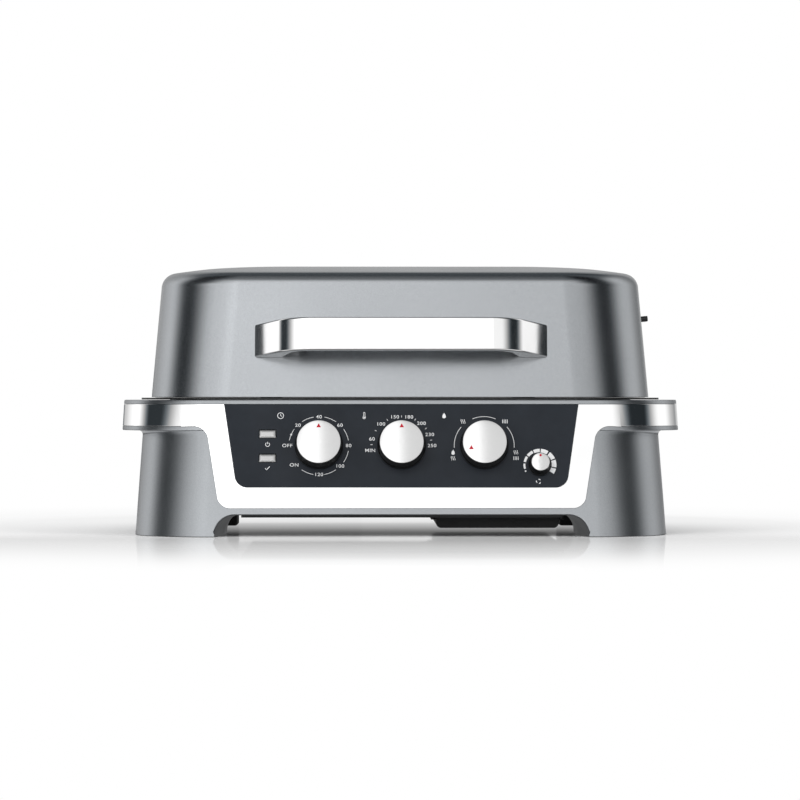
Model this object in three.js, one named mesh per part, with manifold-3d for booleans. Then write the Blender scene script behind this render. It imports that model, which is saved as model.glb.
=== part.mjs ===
// Electric table grill: a hinged lid over a cooking tub, in a housing on four legs,
// with a tilted control panel, a grease tray under the floor and a wood-chip box.
// Millimetres, +X to the right, -Y to the front, +Z up, standing on z = 0.

import * as THREE from 'three';
import { mergeVertices } from 'three/addons/utils/BufferGeometryUtils.js';
import Module from 'manifold-3d';

const wasm = await Module();
wasm.setup();

// Clearances and facets
const GAP = 0.3;
const OVERRUN = 12;
const WELD = 0.0001;
const CORNER_STEPS = 6;
const FILLET_STEPS = 4;
const DIAL_SIDES = 24;
const SMALL_SIDES = 12;
const TUBE_SIDES = 8;

// Housing
const WIDTH = 570;
const RIM_DEPTH = 370;
const HALF_WIDTH = WIDTH / 2;
const HALF_DEPTH = RIM_DEPTH / 2;
const RIM_TOP = 136.5;
const RIM_HEIGHT = 31;
const RIM_BOTTOM = RIM_TOP - RIM_HEIGHT;
const RIM_CORNER = 85;
const RIM_EDGE = 1.2;
const RIM_DRAFT = THREE.MathUtils.degToRad(2.4);
const RIM_WALL = 5;
const DECK = 3;
const UNDERCUT = 5;
const UNDERCUT_SHARE = 0.25;
const SIDE_STEP = 21.7;
const REAR_STEP = 17;
const BODY_CORNER = 74;
const SIDE_FLARE = THREE.MathUtils.degToRad(3.2);
const REAR_TILT = THREE.MathUtils.degToRad(3);
const FRONT_TILT = THREE.MathUtils.degToRad(14.5);
const WALL = 3.2;
const FRONT_WALL = 5.2;

// Legs and arches
const LEG_BOTTOM = 0.6;
const SOLE = 5;
const ARCH_TOP = 21.5;
const ARCH_ROUND = 19;
const LEG_FOOT_WIDTH = 98.5;
const FRONT_ARCH_HALF = HALF_WIDTH - LEG_FOOT_WIDTH;
const ARCH_DRAW_IN = 8.5;
const INNER_ARCH_HALF = FRONT_ARCH_HALF - ARCH_DRAW_IN;
const ARCH_TAPER = 45;
const REAR_FOOT_WIDTH = 73;
const REAR_ARCH_HALF = HALF_WIDTH - REAR_FOOT_WIDTH;
const REAR_ARCH_ROUND = 6;
const FRONT_FOOT_LENGTH = 80;
const SIDE_ARCH_FRONT = FRONT_FOOT_LENGTH - HALF_DEPTH;
const REAR_FOOT_LENGTH = 113;
const SIDE_ARCH_BACK = HALF_DEPTH - REAR_FOOT_LENGTH;

// Bottom cover
const COVER_SIDE_MARGIN = 125;
const COVER_HALF = HALF_WIDTH - COVER_SIDE_MARGIN;
const COVER_MARGIN = 10;
const COVER_THICK = 2.2;
const COVER_BACK_MARGIN = 50;
const COVER_BACK = HALF_DEPTH - COVER_BACK_MARGIN;
const COVER_FRONT_LIP = 8;
const OPENING_MARGIN = 35;
const OPENING_FRONT = OPENING_MARGIN - HALF_DEPTH;

// Polished band and its bib round the panel
const BAND_DROP = 4.5;
const BAND_TOP = RIM_TOP - BAND_DROP;
const BAND_HEIGHT = 22;
const BAND_BOTTOM = BAND_TOP - BAND_HEIGHT;
const BIB_TOP_FILLET = 12.5;
const BIB_BOTTOM_FILLET = 11;
const TRIM_THICK = 1.7;

// Control panel
const PANEL_TOP_HALF = 177.8;
const PANEL_BOTTOM_HALF = 164.8;
const PANEL_HEIGHT = 83;
const PANEL_BOTTOM = BAND_TOP - PANEL_HEIGHT;
const PANEL_FILLET = 11;
const BIB_TOP_MARGIN = 18.2;
const BIB_SIDE_MARGIN = 17.2;
const BIB_LOWER_MARGIN = 20.5;
const BIB_TOP_HALF = PANEL_TOP_HALF + BIB_TOP_MARGIN;
const BIB_BOTTOM_HALF = PANEL_BOTTOM_HALF + BIB_SIDE_MARGIN;
const BIB_BOTTOM = PANEL_BOTTOM - BIB_LOWER_MARGIN;
const PANEL_SINK = 0.5;
const DIAL_DROP = 41.4;
const DIAL_HEIGHT = BAND_TOP - DIAL_DROP;
const DIAL_PITCH = 82.7;
const BLOWER_SPACE = 55.5;
const BLOWER_X = DIAL_PITCH + BLOWER_SPACE;
const BLOWER_RISE = 23.27;
const BLOWER_DROP = (DIAL_HEIGHT - PANEL_BOTTOM) / Math.cos(FRONT_TILT) - BLOWER_RISE;
const LENS_SPACE = 51.3;
const LENS_X = -DIAL_PITCH - LENS_SPACE;
const LENS_RISE = 12.2;
const LENS_DROP = 12.7;
const LENS_WIDTH = 17.1;
const LENS_HEIGHT = 8.6;
const LENS_FILLET = 1.2;
const LENS_DEPTH = 9;

// Dials: a black knob, a bright face on it and the shaft that it turns
const KNOB_RADIUS = 22;
const KNOB_FLARE = 2.3;
const KNOB_HEIGHT = 19;
const KNOB_LIP = 3;
const KNOB_GROOVE = 1.2;
const FACE_THICK = 1.8;
const FACE_CROWN = 0.5;
const SHAFT_RADIUS = 3;
const SHAFT_IN_KNOB = 11;
const SHAFT_IN_SWITCH = 9;
const SMALL_KNOB_RADIUS = 9.2;
const SMALL_KNOB_HEIGHT = 15;
const SMALL_SHAFT_RADIUS = 2;
const BUSH_RADIUS = 6;
const SMALL_BUSH_RADIUS = 4;
const TIMER_SIZE = 44;
const TIMER_DEPTH = 26;
const THERMOSTAT_RADIUS = 17;
const THERMOSTAT_DEPTH = 24;
const SELECTOR_SIZE = 36;
const SELECTOR_DEPTH = 25;
const DIMMER_RADIUS = 8.5;
const DIMMER_DEPTH = 13;

// Indicator board behind the lenses
const BOARD_THICK = 1.6;
const BOARD_WIDTH = 38;
const BOARD_HEIGHT = 46;
const BOARD_BOSS = 3;
const BOARD_BOSS_X = 14;

// Cooking tub
const TUB_SIDE_MARGIN = 47;
const TUB_HALF = HALF_WIDTH - TUB_SIDE_MARGIN;
const TUB_FRONT_MARGIN = 40;
const TUB_FRONT = TUB_FRONT_MARGIN - HALF_DEPTH;
const TUB_BACK_MARGIN = 36;
const TUB_BACK = HALF_DEPTH - TUB_BACK_MARGIN;
const TUB_CORNER = 62;
const TUB_RISE = 36.5;
const TUB_FLOOR = ARCH_TOP + TUB_RISE;
const TUB_DEPTH = RIM_TOP - TUB_FLOOR;
const LEDGE_DEPTH = 28.5;
const TUB_LEDGE = RIM_TOP - LEDGE_DEPTH;
const TUB_LEDGE_RISE = 1.5;
const TUB_STEP = 19;
const TUB_DRAFT = 2.5;
const TUB_WALL = 2;
const TUB_FLANGE = 1.8;
const FLANGE_SIDE = 29;
const FLANGE_HALF = TUB_HALF + FLANGE_SIDE;
const FLANGE_FRONT_WIDTH = 28;
const FLANGE_FRONT = TUB_FRONT - FLANGE_FRONT_WIDTH;
const FLANGE_BACK_WIDTH = 17;
const FLANGE_BACK = TUB_BACK + FLANGE_BACK_WIDTH;
const FLANGE_CORNER = 88;
const FLANGE_BOTTOM = RIM_TOP + GAP;
const FLANGE_TOP = FLANGE_BOTTOM + TUB_FLANGE;
const DRAIN_SIDE_MARGIN = 57;
const DRAIN_X = COVER_HALF - DRAIN_SIDE_MARGIN;
const DRAIN_SETBACK = 165;
const DRAIN_Y = DRAIN_SETBACK - HALF_DEPTH;
const DRAIN_RADIUS = 12;

// Grill plate
const PLATE_MARGIN = 3;
const PLATE_SIDE_MARGIN = 76;
const PLATE_RIGHT = TUB_HALF - PLATE_SIDE_MARGIN;
const PLATE_THICK = 6;
const PLATE_RIGHT_CORNER = 8;
const RIDGE_HEIGHT = 3.5;
const RIDGE_WIDTH = 5;
const RIDGE_TOP = 2.4;
const RIDGE_PITCH = 12.6;
const RIDGE_MARGIN = 16;
const SLOT_WIDTH = 4;
const SLOT_LENGTH = 70;
const SLOT_SPACE = 24;

// Runs of the heating element across the tub
const ELEMENT_RUNS = 4;
const ELEMENT_SIDE_MARGIN = 57;
const ELEMENT_BEND = (TUB_BACK - TUB_FRONT - 2 * ELEMENT_SIDE_MARGIN) / (2 * (ELEMENT_RUNS - 1));
const ELEMENT_HALF = (ELEMENT_RUNS - 1) * ELEMENT_BEND;

// Wood-chip box
const CHIP_SPACE = 5;
const CHIP_WIDTH = 40;
const CHIP_LEFT = PLATE_RIGHT + CHIP_SPACE;
const CHIP_RIGHT = CHIP_LEFT + CHIP_WIDTH;
const CHIP_END_SPACE = 28;
const CHIP_HALF = ELEMENT_HALF - CHIP_END_SPACE;
const CHIP_WALL = 1.5;
const CHIP_HEIGHT = 56;
const CHIP_TOP = TUB_FLOOR + CHIP_HEIGHT;
const CHIP_LID = 2;
const CHIP_CORNER = 5;
const CHIP_HOLE = 3;
const CHIP_HOLES = 5;
const CHIP_HOLE_MARGIN = 22;
const CHIP_HOLE_PITCH = 2 * (CHIP_HALF - CHIP_HOLE_MARGIN) / (CHIP_HOLES - 1);
const CHIP_TAB = 10;
const CHIP_TAB_HALF = 16;

// Heating element and its rests
const ELEMENT_DROP = 20;
const ELEMENT_HEIGHT = TUB_LEDGE - ELEMENT_DROP;
const ELEMENT_RADIUS = 3.25;
const ELEMENT_SPACE = 9;
const ELEMENT_RIGHT = PLATE_RIGHT + CHIP_SPACE - ELEMENT_SPACE - ELEMENT_BEND;
const ELEMENT_MARGIN = 58;
const ELEMENT_LEFT = ELEMENT_MARGIN + ELEMENT_BEND - TUB_HALF;
const ELEMENT_REACH = 13;
const ELEMENT_END = TUB_HALF - TUB_STEP + ELEMENT_REACH;
const BEND_STEPS = 8;
const REST_INSET = 10;
const REST_LEFT = ELEMENT_LEFT + REST_INSET;
const REST_RIGHT_INSET = 4;
const REST_RIGHT = ELEMENT_RIGHT - REST_RIGHT_INSET;
const REST_THICK = 2;
const REST_OVERHANG = 14;
const REST_HALF = ELEMENT_HALF + REST_OVERHANG;

// Temperature sensor
const SENSOR_RADIUS = 3;
const SENSOR_HALF = 34;
const SENSOR_DROP = 10;
const SENSOR_HEIGHT = TUB_LEDGE - SENSOR_DROP;
const SENSOR_STANDOFF = 9;
const CAPILLARY_RADIUS = 1.4;

// Drain funnel
const FUNNEL_RADIUS = 21;
const FUNNEL_NECK = 9;
const FUNNEL_DROP = 18;
const FUNNEL_NECK_TOP = TUB_FLOOR - FUNNEL_DROP;
const FUNNEL_WALL = 1.6;
const FUNNEL_COLLAR = 2;

// Blower beside the tub
const FAN_SIZE = 60;
const FAN_THICK = 20;
const FAN_RISE = 42;
const FAN_FLOOR = ARCH_TOP + WALL + GAP;
const FAN_HEIGHT = FAN_FLOOR + FAN_RISE;
const AIR_RISE = 22;
const AIR_HEIGHT = TUB_FLOOR + AIR_RISE;
const DUCT_LENGTH = 20;
const FAN_RIM = 2;
const FAN_BORE = FAN_SIZE / 2 - FAN_RIM;
const FAN_TIP_SPACE = 2;
const FAN_TIP = FAN_BORE - FAN_TIP_SPACE;
const FAN_HUB = 11;
const FAN_HUB_THICK = 8;
const FAN_ARM = 4;
const FAN_ARM_THICK = 2.5;
const FAN_BLADES = 7;
const FAN_BLADE_THICK = 1.6;
const FAN_BLADE_WIDTH = 11;
const FAN_BLADE_PITCH = THREE.MathUtils.degToRad(38);
const FAN_SHAFT = 1.5;
const FAN_CORNER = 5;
const DUCT_WALL = 1.6;
const DUCT_RADIUS = 14;

// Power board and inlet
const POWER_BOARD_MARGIN = 35;
const POWER_BOARD_WIDTH = 100;
const POWER_BOARD_LENGTH = 70;
const POWER_BOARD_SETBACK = 45;
const POWER_BOARD_LEFT = POWER_BOARD_MARGIN - COVER_HALF;
const POWER_BOARD_RIGHT = POWER_BOARD_LEFT + POWER_BOARD_WIDTH;
const POWER_BOARD_FRONT = OPENING_FRONT + POWER_BOARD_SETBACK;
const POWER_BOARD_BACK = POWER_BOARD_FRONT + POWER_BOARD_LENGTH;
const BOARD_POST = 6;
const BOARD_POST_RADIUS = 3;
const BOARD_POST_INSET = 8;
const RELAY_WIDTH = 22;
const RELAY_DEPTH = 28;
const RELAY_HEIGHT = 16;
const INLET_SIDE_MARGIN = 110;
const INLET_X = INLET_SIDE_MARGIN - HALF_WIDTH;
const INLET_DROP = 39.5;
const INLET_Z = RIM_BOTTOM - INLET_DROP;
const INLET_WIDTH = 30;
const INLET_HEIGHT = 24;
const INLET_FLANGE = 2.5;
const INLET_MARGIN = 4;
const INLET_DEPTH = 20;
const INLET_WALL = 2.4;
const INLET_CORNER = 4;
const PIN_RADIUS = 1.5;
const PIN_LENGTH = 13;
const PIN_SPREAD = 7;
const PIN_RISE = 3;

// Vent slots in the rear wall
const LOUVRE_COUNT = 7;
const LOUVRE_PITCH = 9;
const LOUVRE_HEIGHT = 4;
const LOUVRE_LENGTH = 60;
const LOUVRE_SIDE_MARGIN = 135;
const LOUVRE_X = HALF_WIDTH - LOUVRE_SIDE_MARGIN;
const LOUVRE_RISE = 16.5;
const LOUVRE_BOTTOM = ARCH_TOP + LOUVRE_RISE;

// Grease tray and its rails
const TRAY_WIDTH = 131.5;
const TRAY_SIDE_SPACE = 14;
const TRAY_RIGHT = INNER_ARCH_HALF - TRAY_SIDE_SPACE;
const TRAY_LEFT = TRAY_RIGHT - TRAY_WIDTH;
const TRAY_SETBACK = 45;
const TRAY_LENGTH = 198;
const TRAY_FRONT = TRAY_SETBACK - HALF_DEPTH;
const TRAY_BACK = TRAY_FRONT + TRAY_LENGTH;
const TRAY_DROP = 3.3;
const TRAY_HEIGHT = 12.2;
const TRAY_TOP = ARCH_TOP - TRAY_DROP;
const TRAY_BOTTOM = TRAY_TOP - TRAY_HEIGHT;
const TRAY_LIP = 3.4;
const TRAY_LIP_THICK = 1.8;
const TRAY_WALL = 1.6;
const TRAY_FILLET = 5;
const RAIL_WALL = 1.6;

// Feet
const PAD_SIDE_MARGIN = 59;
const PAD_X = HALF_WIDTH - PAD_SIDE_MARGIN;
const PAD_FRONT_MARGIN = 35;
const PAD_Y = PAD_FRONT_MARGIN - HALF_DEPTH;
const PAD_WIDTH = 36;
const PAD_LENGTH = 56;
const PAD_CORNER = 12;
const PAD_THICK = 2.6;
const SKID_SIDE_MARGIN = 80.4;
const SKID_WIDTH = 29.6;
const SKID_LENGTH = 68;
const SKID_BACK_MARGIN = 37;
const SKID_OUTER = HALF_WIDTH - SKID_SIDE_MARGIN;
const SKID_INNER = SKID_OUTER - SKID_WIDTH;
const SKID_BACK = HALF_DEPTH - SKID_BACK_MARGIN;
const SKID_FRONT = SKID_BACK - SKID_LENGTH;
const SKID_CORNER = 5;

// Lid
const LID_BOTTOM = FLANGE_TOP + 2 * GAP;
const LID_SIDE_MARGIN = 28;
const LID_HALF = HALF_WIDTH - LID_SIDE_MARGIN;
const LID_SETBACK = 22;
const LID_CORNER = 84;
const LID_SIDE_DRAFT = THREE.MathUtils.degToRad(4.7);
const LID_FRONT_DRAFT = THREE.MathUtils.degToRad(8);
const LID_REAR_DRAFT = THREE.MathUtils.degToRad(5);
const LID_WALL_HEIGHT = 112.3;
const SHOULDER_START = LID_BOTTOM + LID_WALL_HEIGHT;
const SHOULDER_REACH = 16;
const SHOULDER_RISE = 15.9;
const SHOULDER_ANGLE = THREE.MathUtils.degToRad(83);
const SHOULDER_STEPS = 4;
const DOME_REACH = 112;
const DOME_RISE = 8.6;
const DOME_CORNER = 34;
const DOME_POWER = 1.7;
const DOME_STEPS = 4;
const LID_WALL = 2.2;
const LINER_INSET = 12;
const LINER_WALL = 1.4;
const SEAL_HEIGHT = 4;
const SEAL_INSET = 3;
const SEAL_WIDTH = 7;

// Lid handle
const HANDLE_RISE = 56.6;
const HANDLE_HEIGHT = LID_BOTTOM + HANDLE_RISE;
const HANDLE_STRAP = 33.6;
const HANDLE_REACH = 50;
const HANDLE_BAR = 7.5;
const HANDLE_SIDE_MARGIN = 108.3;
const HANDLE_FOOT_OUTER = LID_HALF - HANDLE_SIDE_MARGIN;
const HANDLE_FOOT_WIDTH = 25.2;
const HANDLE_FOOT_INNER = HANDLE_FOOT_OUTER - HANDLE_FOOT_WIDTH;
const HANDLE_TURN_IN = 35.7;
const HANDLE_BEND_HALF = HANDLE_FOOT_OUTER - HANDLE_TURN_IN;
const HANDLE_INNER_TURN_IN = 40.7;
const HANDLE_INNER_HALF = HANDLE_FOOT_OUTER - HANDLE_INNER_TURN_IN;
const HANDLE_BEND = 24;
const HANDLE_INNER_BEND = 18;
const HANDLE_SCREW_X = (HANDLE_FOOT_OUTER + HANDLE_FOOT_INNER) / 2;
const SCREW_RADIUS = 2.5;
const SCREW_HEAD = 5;
const SCREW_HEAD_THICK = 2.5;
const SCREW_LENGTH = 12;

// Lid hinges
const HINGE_SIDE_MARGIN = 145;
const HINGE_X = HALF_WIDTH - HINGE_SIDE_MARGIN;
const HINGE_SETBACK = 15.2;
const HINGE_Y = HALF_DEPTH - LID_SETBACK + HINGE_SETBACK;
const HINGE_RISE = 7.8;
const HINGE_Z = LID_BOTTOM + HINGE_RISE;
const PIVOT_RADIUS = 2.5;
const KNUCKLE_RADIUS = 6;
const KNUCKLE_HALF = 9;
const EAR_THICK = 3;
const EAR_RADIUS = 6.4;
const BRACKET_DEPTH = 7.2;
const LEAF_THICK = 3;
const LEAF_START = 4.3;
const LEAF_BOTTOM = LID_BOTTOM + LEAF_START;
const LEAF_HEIGHT = 28.5;
const LEAF_TOP = LEAF_BOTTOM + LEAF_HEIGHT;
const LEAF_ARM = 10.5;
const LEAF_ARM_TOP = LEAF_BOTTOM + LEAF_ARM;

// Vent in the right side of the lid
const VENT_Y = 40;
const VENT_RISE = 82.8;
const VENT_Z = LID_BOTTOM + VENT_RISE;
const VENT_RADIUS = 20;
const VENT_THICK = 1.5;
const VENT_HOLE = 4;
const VENT_HOLE_CIRCLE = 12;
const VENT_HOLES = 4;
const STEM_RADIUS = 2.2;
const STEM_LENGTH = 9;
const GRIP_REACH = 10;
const GRIP_LENGTH = 24;
const GRIP_THICK = 5.8;

const PANEL_TURN = Math.PI / 2 - FRONT_TILT;
const TOWARDS_X = new THREE.Matrix4().makeBasis(
  new THREE.Vector3(0, 1, 0), new THREE.Vector3(0, 0, 1), new THREE.Vector3(1, 0, 0));

// Materials
function finish(color, roughness, metalness) {
  return new THREE.MeshStandardMaterial({ color, roughness, metalness });
}
const greyPaint = finish(0x9a9fa3, 0.45, 0.6);
const polished = finish(0xe8eaec, 0.12, 1);
const panelBlack = finish(0x303338, 0.5, 0.1);
const knobBlack = finish(0x101214, 0.4, 0);
const satinFace = finish(0xd8dadc, 0.3, 0.9);
const lensSilver = finish(0xb9bcbe, 0.25, 0.4);
const castBlack = finish(0x1c1c1d, 0.75, 0.3);
const bareSteel = finish(0xb4b6b8, 0.35, 1);
const rubberBlack = finish(0x0d0d0e, 0.85, 0);
const boardGreen = finish(0x2a5a3c, 0.6, 0);
const switchBeige = finish(0xcfc8b8, 0.6, 0);

// Turning geometry into solids and back
function solidOf(geometry, matrix) {
  const bare = geometry.clone();
  bare.deleteAttribute('normal');
  bare.deleteAttribute('uv');
  if (matrix) bare.applyMatrix4(matrix);
  const merged = mergeVertices(bare, WELD);
  const vertProperties = Float32Array.from(merged.attributes.position.array);
  const triVerts = Uint32Array.from(merged.index.array);
  if (signedVolume(vertProperties, triVerts) < 0) triVerts.reverse();
  return new wasm.Manifold(new wasm.Mesh({ numProp: 3, vertProperties, triVerts }));
}

function signedVolume(points, corners) {
  const [a, b, c] = [new THREE.Vector3(), new THREE.Vector3(), new THREE.Vector3()];
  let sum = 0;
  for (let i = 0; i < corners.length; i += 3) {
    a.fromArray(points, 3 * corners[i]);
    b.fromArray(points, 3 * corners[i + 1]);
    c.fromArray(points, 3 * corners[i + 2]);
    sum += a.dot(b.cross(c));
  }
  return sum;
}

function geometryOf(solid) {
  const mesh = solid.getMesh();
  const geometry = new THREE.BufferGeometry();
  geometry.setAttribute('position', new THREE.BufferAttribute(mesh.vertProperties, 3));
  geometry.setIndex(new THREE.BufferAttribute(mesh.triVerts, 1));
  const faceted = geometry.toNonIndexed();
  faceted.computeVertexNormals();
  return faceted;
}

const join = (first, ...rest) => rest.reduce((sum, solid) => sum.add(solid), first);
const cut = (body, ...tools) => tools.reduce((rest, tool) => rest.subtract(tool), body);

function piece(name, solid, material, parent, place = [0, 0, 0]) {
  const mesh = new THREE.Mesh(geometryOf(solid), material);
  mesh.name = name;
  mesh.position.set(...place);
  parent.add(mesh);
  return mesh;
}

// Basic solids
function block(x0, x1, y0, y1, z0, z1) {
  const box = new THREE.BoxGeometry(x1 - x0, y1 - y0, z1 - z0);
  box.translate((x0 + x1) / 2, (y0 + y1) / 2, (z0 + z1) / 2);
  return solidOf(box);
}

function rodAlong(axis, radius, from, to, [u, v], sides = SMALL_SIDES) {
  const rod = new THREE.CylinderGeometry(radius, radius, to - from, sides);
  const middle = (from + to) / 2;
  if (axis === 'x') rod.rotateZ(-Math.PI / 2).translate(middle, u, v);
  if (axis === 'y') rod.translate(u, middle, v);
  if (axis === 'z') rod.rotateX(Math.PI / 2).translate(u, v, middle);
  return solidOf(rod);
}

function turned(profile, sides = SMALL_SIDES) {
  const points = profile.map(([radius, height]) => new THREE.Vector2(radius, height));
  return solidOf(new THREE.LatheGeometry(points, sides).rotateX(Math.PI / 2));
}

// A polygon with its corners rounded: each corner is [x, y, radius]
function roundedPolygon(corners, steps = FILLET_STEPS) {
  const points = [];
  corners.forEach(([x, y, radius = 0], i) => {
    const corner = new THREE.Vector2(x, y);
    if (radius === 0) {
      points.push(corner);
      return;
    }
    const before = corners[(i + corners.length - 1) % corners.length];
    const after = corners[(i + 1) % corners.length];
    const back = new THREE.Vector2(before[0], before[1]).sub(corner).normalize();
    const on = new THREE.Vector2(after[0], after[1]).sub(corner).normalize();
    const half = Math.acos(THREE.MathUtils.clamp(back.dot(on), -1, 1)) / 2;
    const centre = back.clone().add(on).setLength(radius / Math.sin(half)).add(corner);
    const start = back.multiplyScalar(radius / Math.tan(half)).add(corner).sub(centre);
    const end = on.multiplyScalar(radius / Math.tan(half)).add(corner).sub(centre);
    const turn = Math.atan2(start.cross(end), start.dot(end));
    for (let k = 0; k <= steps; k += 1) {
      points.push(start.clone().rotateAround(new THREE.Vector2(), turn * k / steps).add(centre));
    }
  });
  return points;
}

function extruded(points, depth, matrix) {
  const shape = new THREE.Shape(points);
  return solidOf(new THREE.ExtrudeGeometry(shape, { depth, bevelEnabled: false }), matrix);
}

// A profile of (y, z) points drawn out along X
function alongX(points, x0, x1) {
  const matrix = new THREE.Matrix4().makeTranslation(x0, 0, 0).multiply(TOWARDS_X);
  return extruded(points, x1 - x0, matrix);
}

// A closed skin through rings that have the same number of points
function loft(rings) {
  const count = rings[0].length;
  const index = [];
  for (let k = 0; k + 1 < rings.length; k += 1) {
    for (let i = 0; i < count; i += 1) {
      const a = k * count + i;
      const b = k * count + (i + 1) % count;
      index.push(a, b, b + count, a, b + count, a + count);
    }
  }
  const top = (rings.length - 1) * count;
  for (let i = 1; i + 1 < count; i += 1) {
    index.push(0, i + 1, i, top, top + i, top + i + 1);
  }
  const geometry = new THREE.BufferGeometry().setFromPoints(rings.flat());
  geometry.setIndex(index);
  return solidOf(geometry);
}

// A rounded rectangle at one height, from its front to its back
function ring(half, front, back, radius, z) {
  const points = [];
  const centres = [[half - radius, front + radius], [half - radius, back - radius],
    [radius - half, back - radius], [radius - half, front + radius]];
  centres.forEach(([x, y], corner) => {
    for (let k = 0; k <= CORNER_STEPS; k += 1) {
      const angle = (corner - 1 + k / CORNER_STEPS) * Math.PI / 2;
      points.push(new THREE.Vector3(x + radius * Math.cos(angle), y + radius * Math.sin(angle), z));
    }
  });
  return points;
}

const between = (low, high, share) => low.map((point, i) => point.clone().lerp(high[i], share));

function roundedBlock(x0, x1, y0, y1, radius, z0, z1) {
  const corners = [[x0, y0, radius], [x1, y0, radius], [x1, y1, radius], [x0, y1, radius]];
  return extruded(roundedPolygon(corners), z1 - z0, new THREE.Matrix4().makeTranslation(0, 0, z0));
}

// Outer faces of the housing
const frontAt = (z) => -(HALF_DEPTH + (RIM_TOP - z) * Math.tan(FRONT_TILT));
const rearAt = (z) => HALF_DEPTH - REAR_STEP + (RIM_BOTTOM - z) * Math.tan(REAR_TILT);
const sideAt = (z) => HALF_WIDTH - SIDE_STEP + (RIM_BOTTOM - z) * Math.tan(SIDE_FLARE);

function bodyRing(z, inset = 0, frontInset = inset) {
  return ring(sideAt(z) - inset, frontAt(z) + frontInset / Math.cos(FRONT_TILT),
    rearAt(z) - inset, BODY_CORNER - inset, z);
}

function rimRing(z, inset = 0) {
  const draft = (z - RIM_BOTTOM) * Math.tan(RIM_DRAFT);
  return ring(HALF_WIDTH - draft - inset, frontAt(z) + inset / Math.cos(FRONT_TILT),
    HALF_DEPTH - draft - inset, RIM_CORNER - inset, z);
}

// Frame of the tilted front face: X to the right, Y up the face, Z out of it
const panelFrame = new THREE.Matrix4().makeRotationX(PANEL_TURN)
  .setPosition(0, frontAt(DIAL_HEIGHT), DIAL_HEIGHT);
const upPanel = (z) => (z - DIAL_HEIGHT) / Math.cos(FRONT_TILT);

function throughPanel(points) {
  const start = new THREE.Matrix4().makeTranslation(0, 0, -OVERRUN);
  return extruded(points, 2 * OVERRUN, panelFrame.clone().multiply(start));
}

function bibOutline(grow) {
  const shoulder = BIB_TOP_HALF + BIB_TOP_FILLET + grow;
  const inBand = upPanel((BAND_TOP + BAND_BOTTOM) / 2);
  const bandEdge = upPanel(BAND_BOTTOM) - grow;
  const bottom = upPanel(BIB_BOTTOM) - grow;
  const right = [[BIB_BOTTOM_HALF + grow, bottom, BIB_BOTTOM_FILLET + grow],
    [BIB_TOP_HALF + grow, bandEdge, BIB_TOP_FILLET - grow], [shoulder + BIB_TOP_FILLET, bandEdge],
    [shoulder + BIB_TOP_FILLET, inBand]];
  const left = right.map(([x, y, radius]) => [-x, y, radius]).reverse();
  return roundedPolygon([...right, ...left]);
}

function panelOutline(shrink, top) {
  const bottom = upPanel(PANEL_BOTTOM) + shrink;
  const fillet = PANEL_FILLET - shrink;
  const spread = (PANEL_TOP_HALF - PANEL_BOTTOM_HALF) / (upPanel(BAND_TOP) - upPanel(PANEL_BOTTOM));
  const topHalf = PANEL_TOP_HALF - shrink + spread * (top - upPanel(BAND_TOP));
  const bottomHalf = PANEL_BOTTOM_HALF - shrink;
  return roundedPolygon([[bottomHalf, bottom, fillet], [topHalf, top], [-topHalf, top],
    [-bottomHalf, bottom, fillet]]);
}

// Where the band and its bib lie, grown on every side
function trimMask(grow) {
  const band = block(-WIDTH, WIDTH, -WIDTH, WIDTH, BAND_BOTTOM - grow, BAND_TOP + grow);
  return join(band, throughPanel(bibOutline(grow)));
}

const rimColumn = (inset) => loft([rimRing(BIB_BOTTOM - OVERRUN, inset),
  rimRing(RIM_TOP + OVERRUN, inset)]);

// Arches under the floor, as one solid that leaves the four legs
function archRing(half, top, y, round = ARCH_ROUND) {
  const bottom = -OVERRUN;
  return roundedPolygon([[-half, bottom], [half, bottom], [half, top, round], [-half, top, round]])
    .map((point) => new THREE.Vector3(point.x, y, point.y));
}

function arches(grow) {
  const top = ARCH_TOP + grow;
  const front = frontAt(LEG_BOTTOM);
  const back = rearAt(LEG_BOTTOM) + OVERRUN;
  const overlap = (SIDE_ARCH_FRONT + SIDE_ARCH_BACK) / 2;
  const mouth = FRONT_ARCH_HALF + grow;
  const inner = INNER_ARCH_HALF + grow;
  const frontTunnel = loft([archRing(mouth, top, front - OVERRUN), archRing(mouth, top, front),
    archRing(inner, top, front + ARCH_TAPER), archRing(inner, top, overlap)]);
  const rearTunnel = loft([overlap, back].map(
    (y) => archRing(REAR_ARCH_HALF + grow, top, y, REAR_ARCH_ROUND)));
  const side = roundedPolygon([[SIDE_ARCH_FRONT - grow, -OVERRUN], [SIDE_ARCH_BACK + grow, -OVERRUN],
    [SIDE_ARCH_BACK + grow, top, ARCH_ROUND], [SIDE_ARCH_FRONT - grow, top, ARCH_ROUND]]);
  return join(frontTunnel, rearTunnel, alongX(side, -WIDTH, WIDTH));
}

// Dials, left to right, and the small one below them on the right
const mainDial = { flange: KNOB_RADIUS + KNOB_FLARE, radius: KNOB_RADIUS, height: KNOB_HEIGHT,
  shaft: SHAFT_RADIUS, bush: BUSH_RADIUS, sides: DIAL_SIDES };
const dials = [
  { ...mainDial, name: 'time', x: -DIAL_PITCH, y: 0, control: 'timer', body: timerBody },
  { ...mainDial, name: 'temp', x: 0, y: 0, control: 'thermostat', body: thermostatBody },
  { ...mainDial, name: 'function', x: DIAL_PITCH, y: 0, control: 'function_switch', body: selectorBody },
  { name: 'blower', x: BLOWER_X, y: -BLOWER_DROP, control: 'blower_dimmer', body: dimmerBody,
    flange: SMALL_KNOB_RADIUS + KNOB_FLARE, radius: SMALL_KNOB_RADIUS, height: SMALL_KNOB_HEIGHT,
    shaft: SMALL_SHAFT_RADIUS, bush: SMALL_BUSH_RADIUS, sides: SMALL_SIDES },
];
const lenses = [{ name: 'power_lens', y: LENS_RISE }, { name: 'ready_lens', y: -LENS_DROP }];
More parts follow.
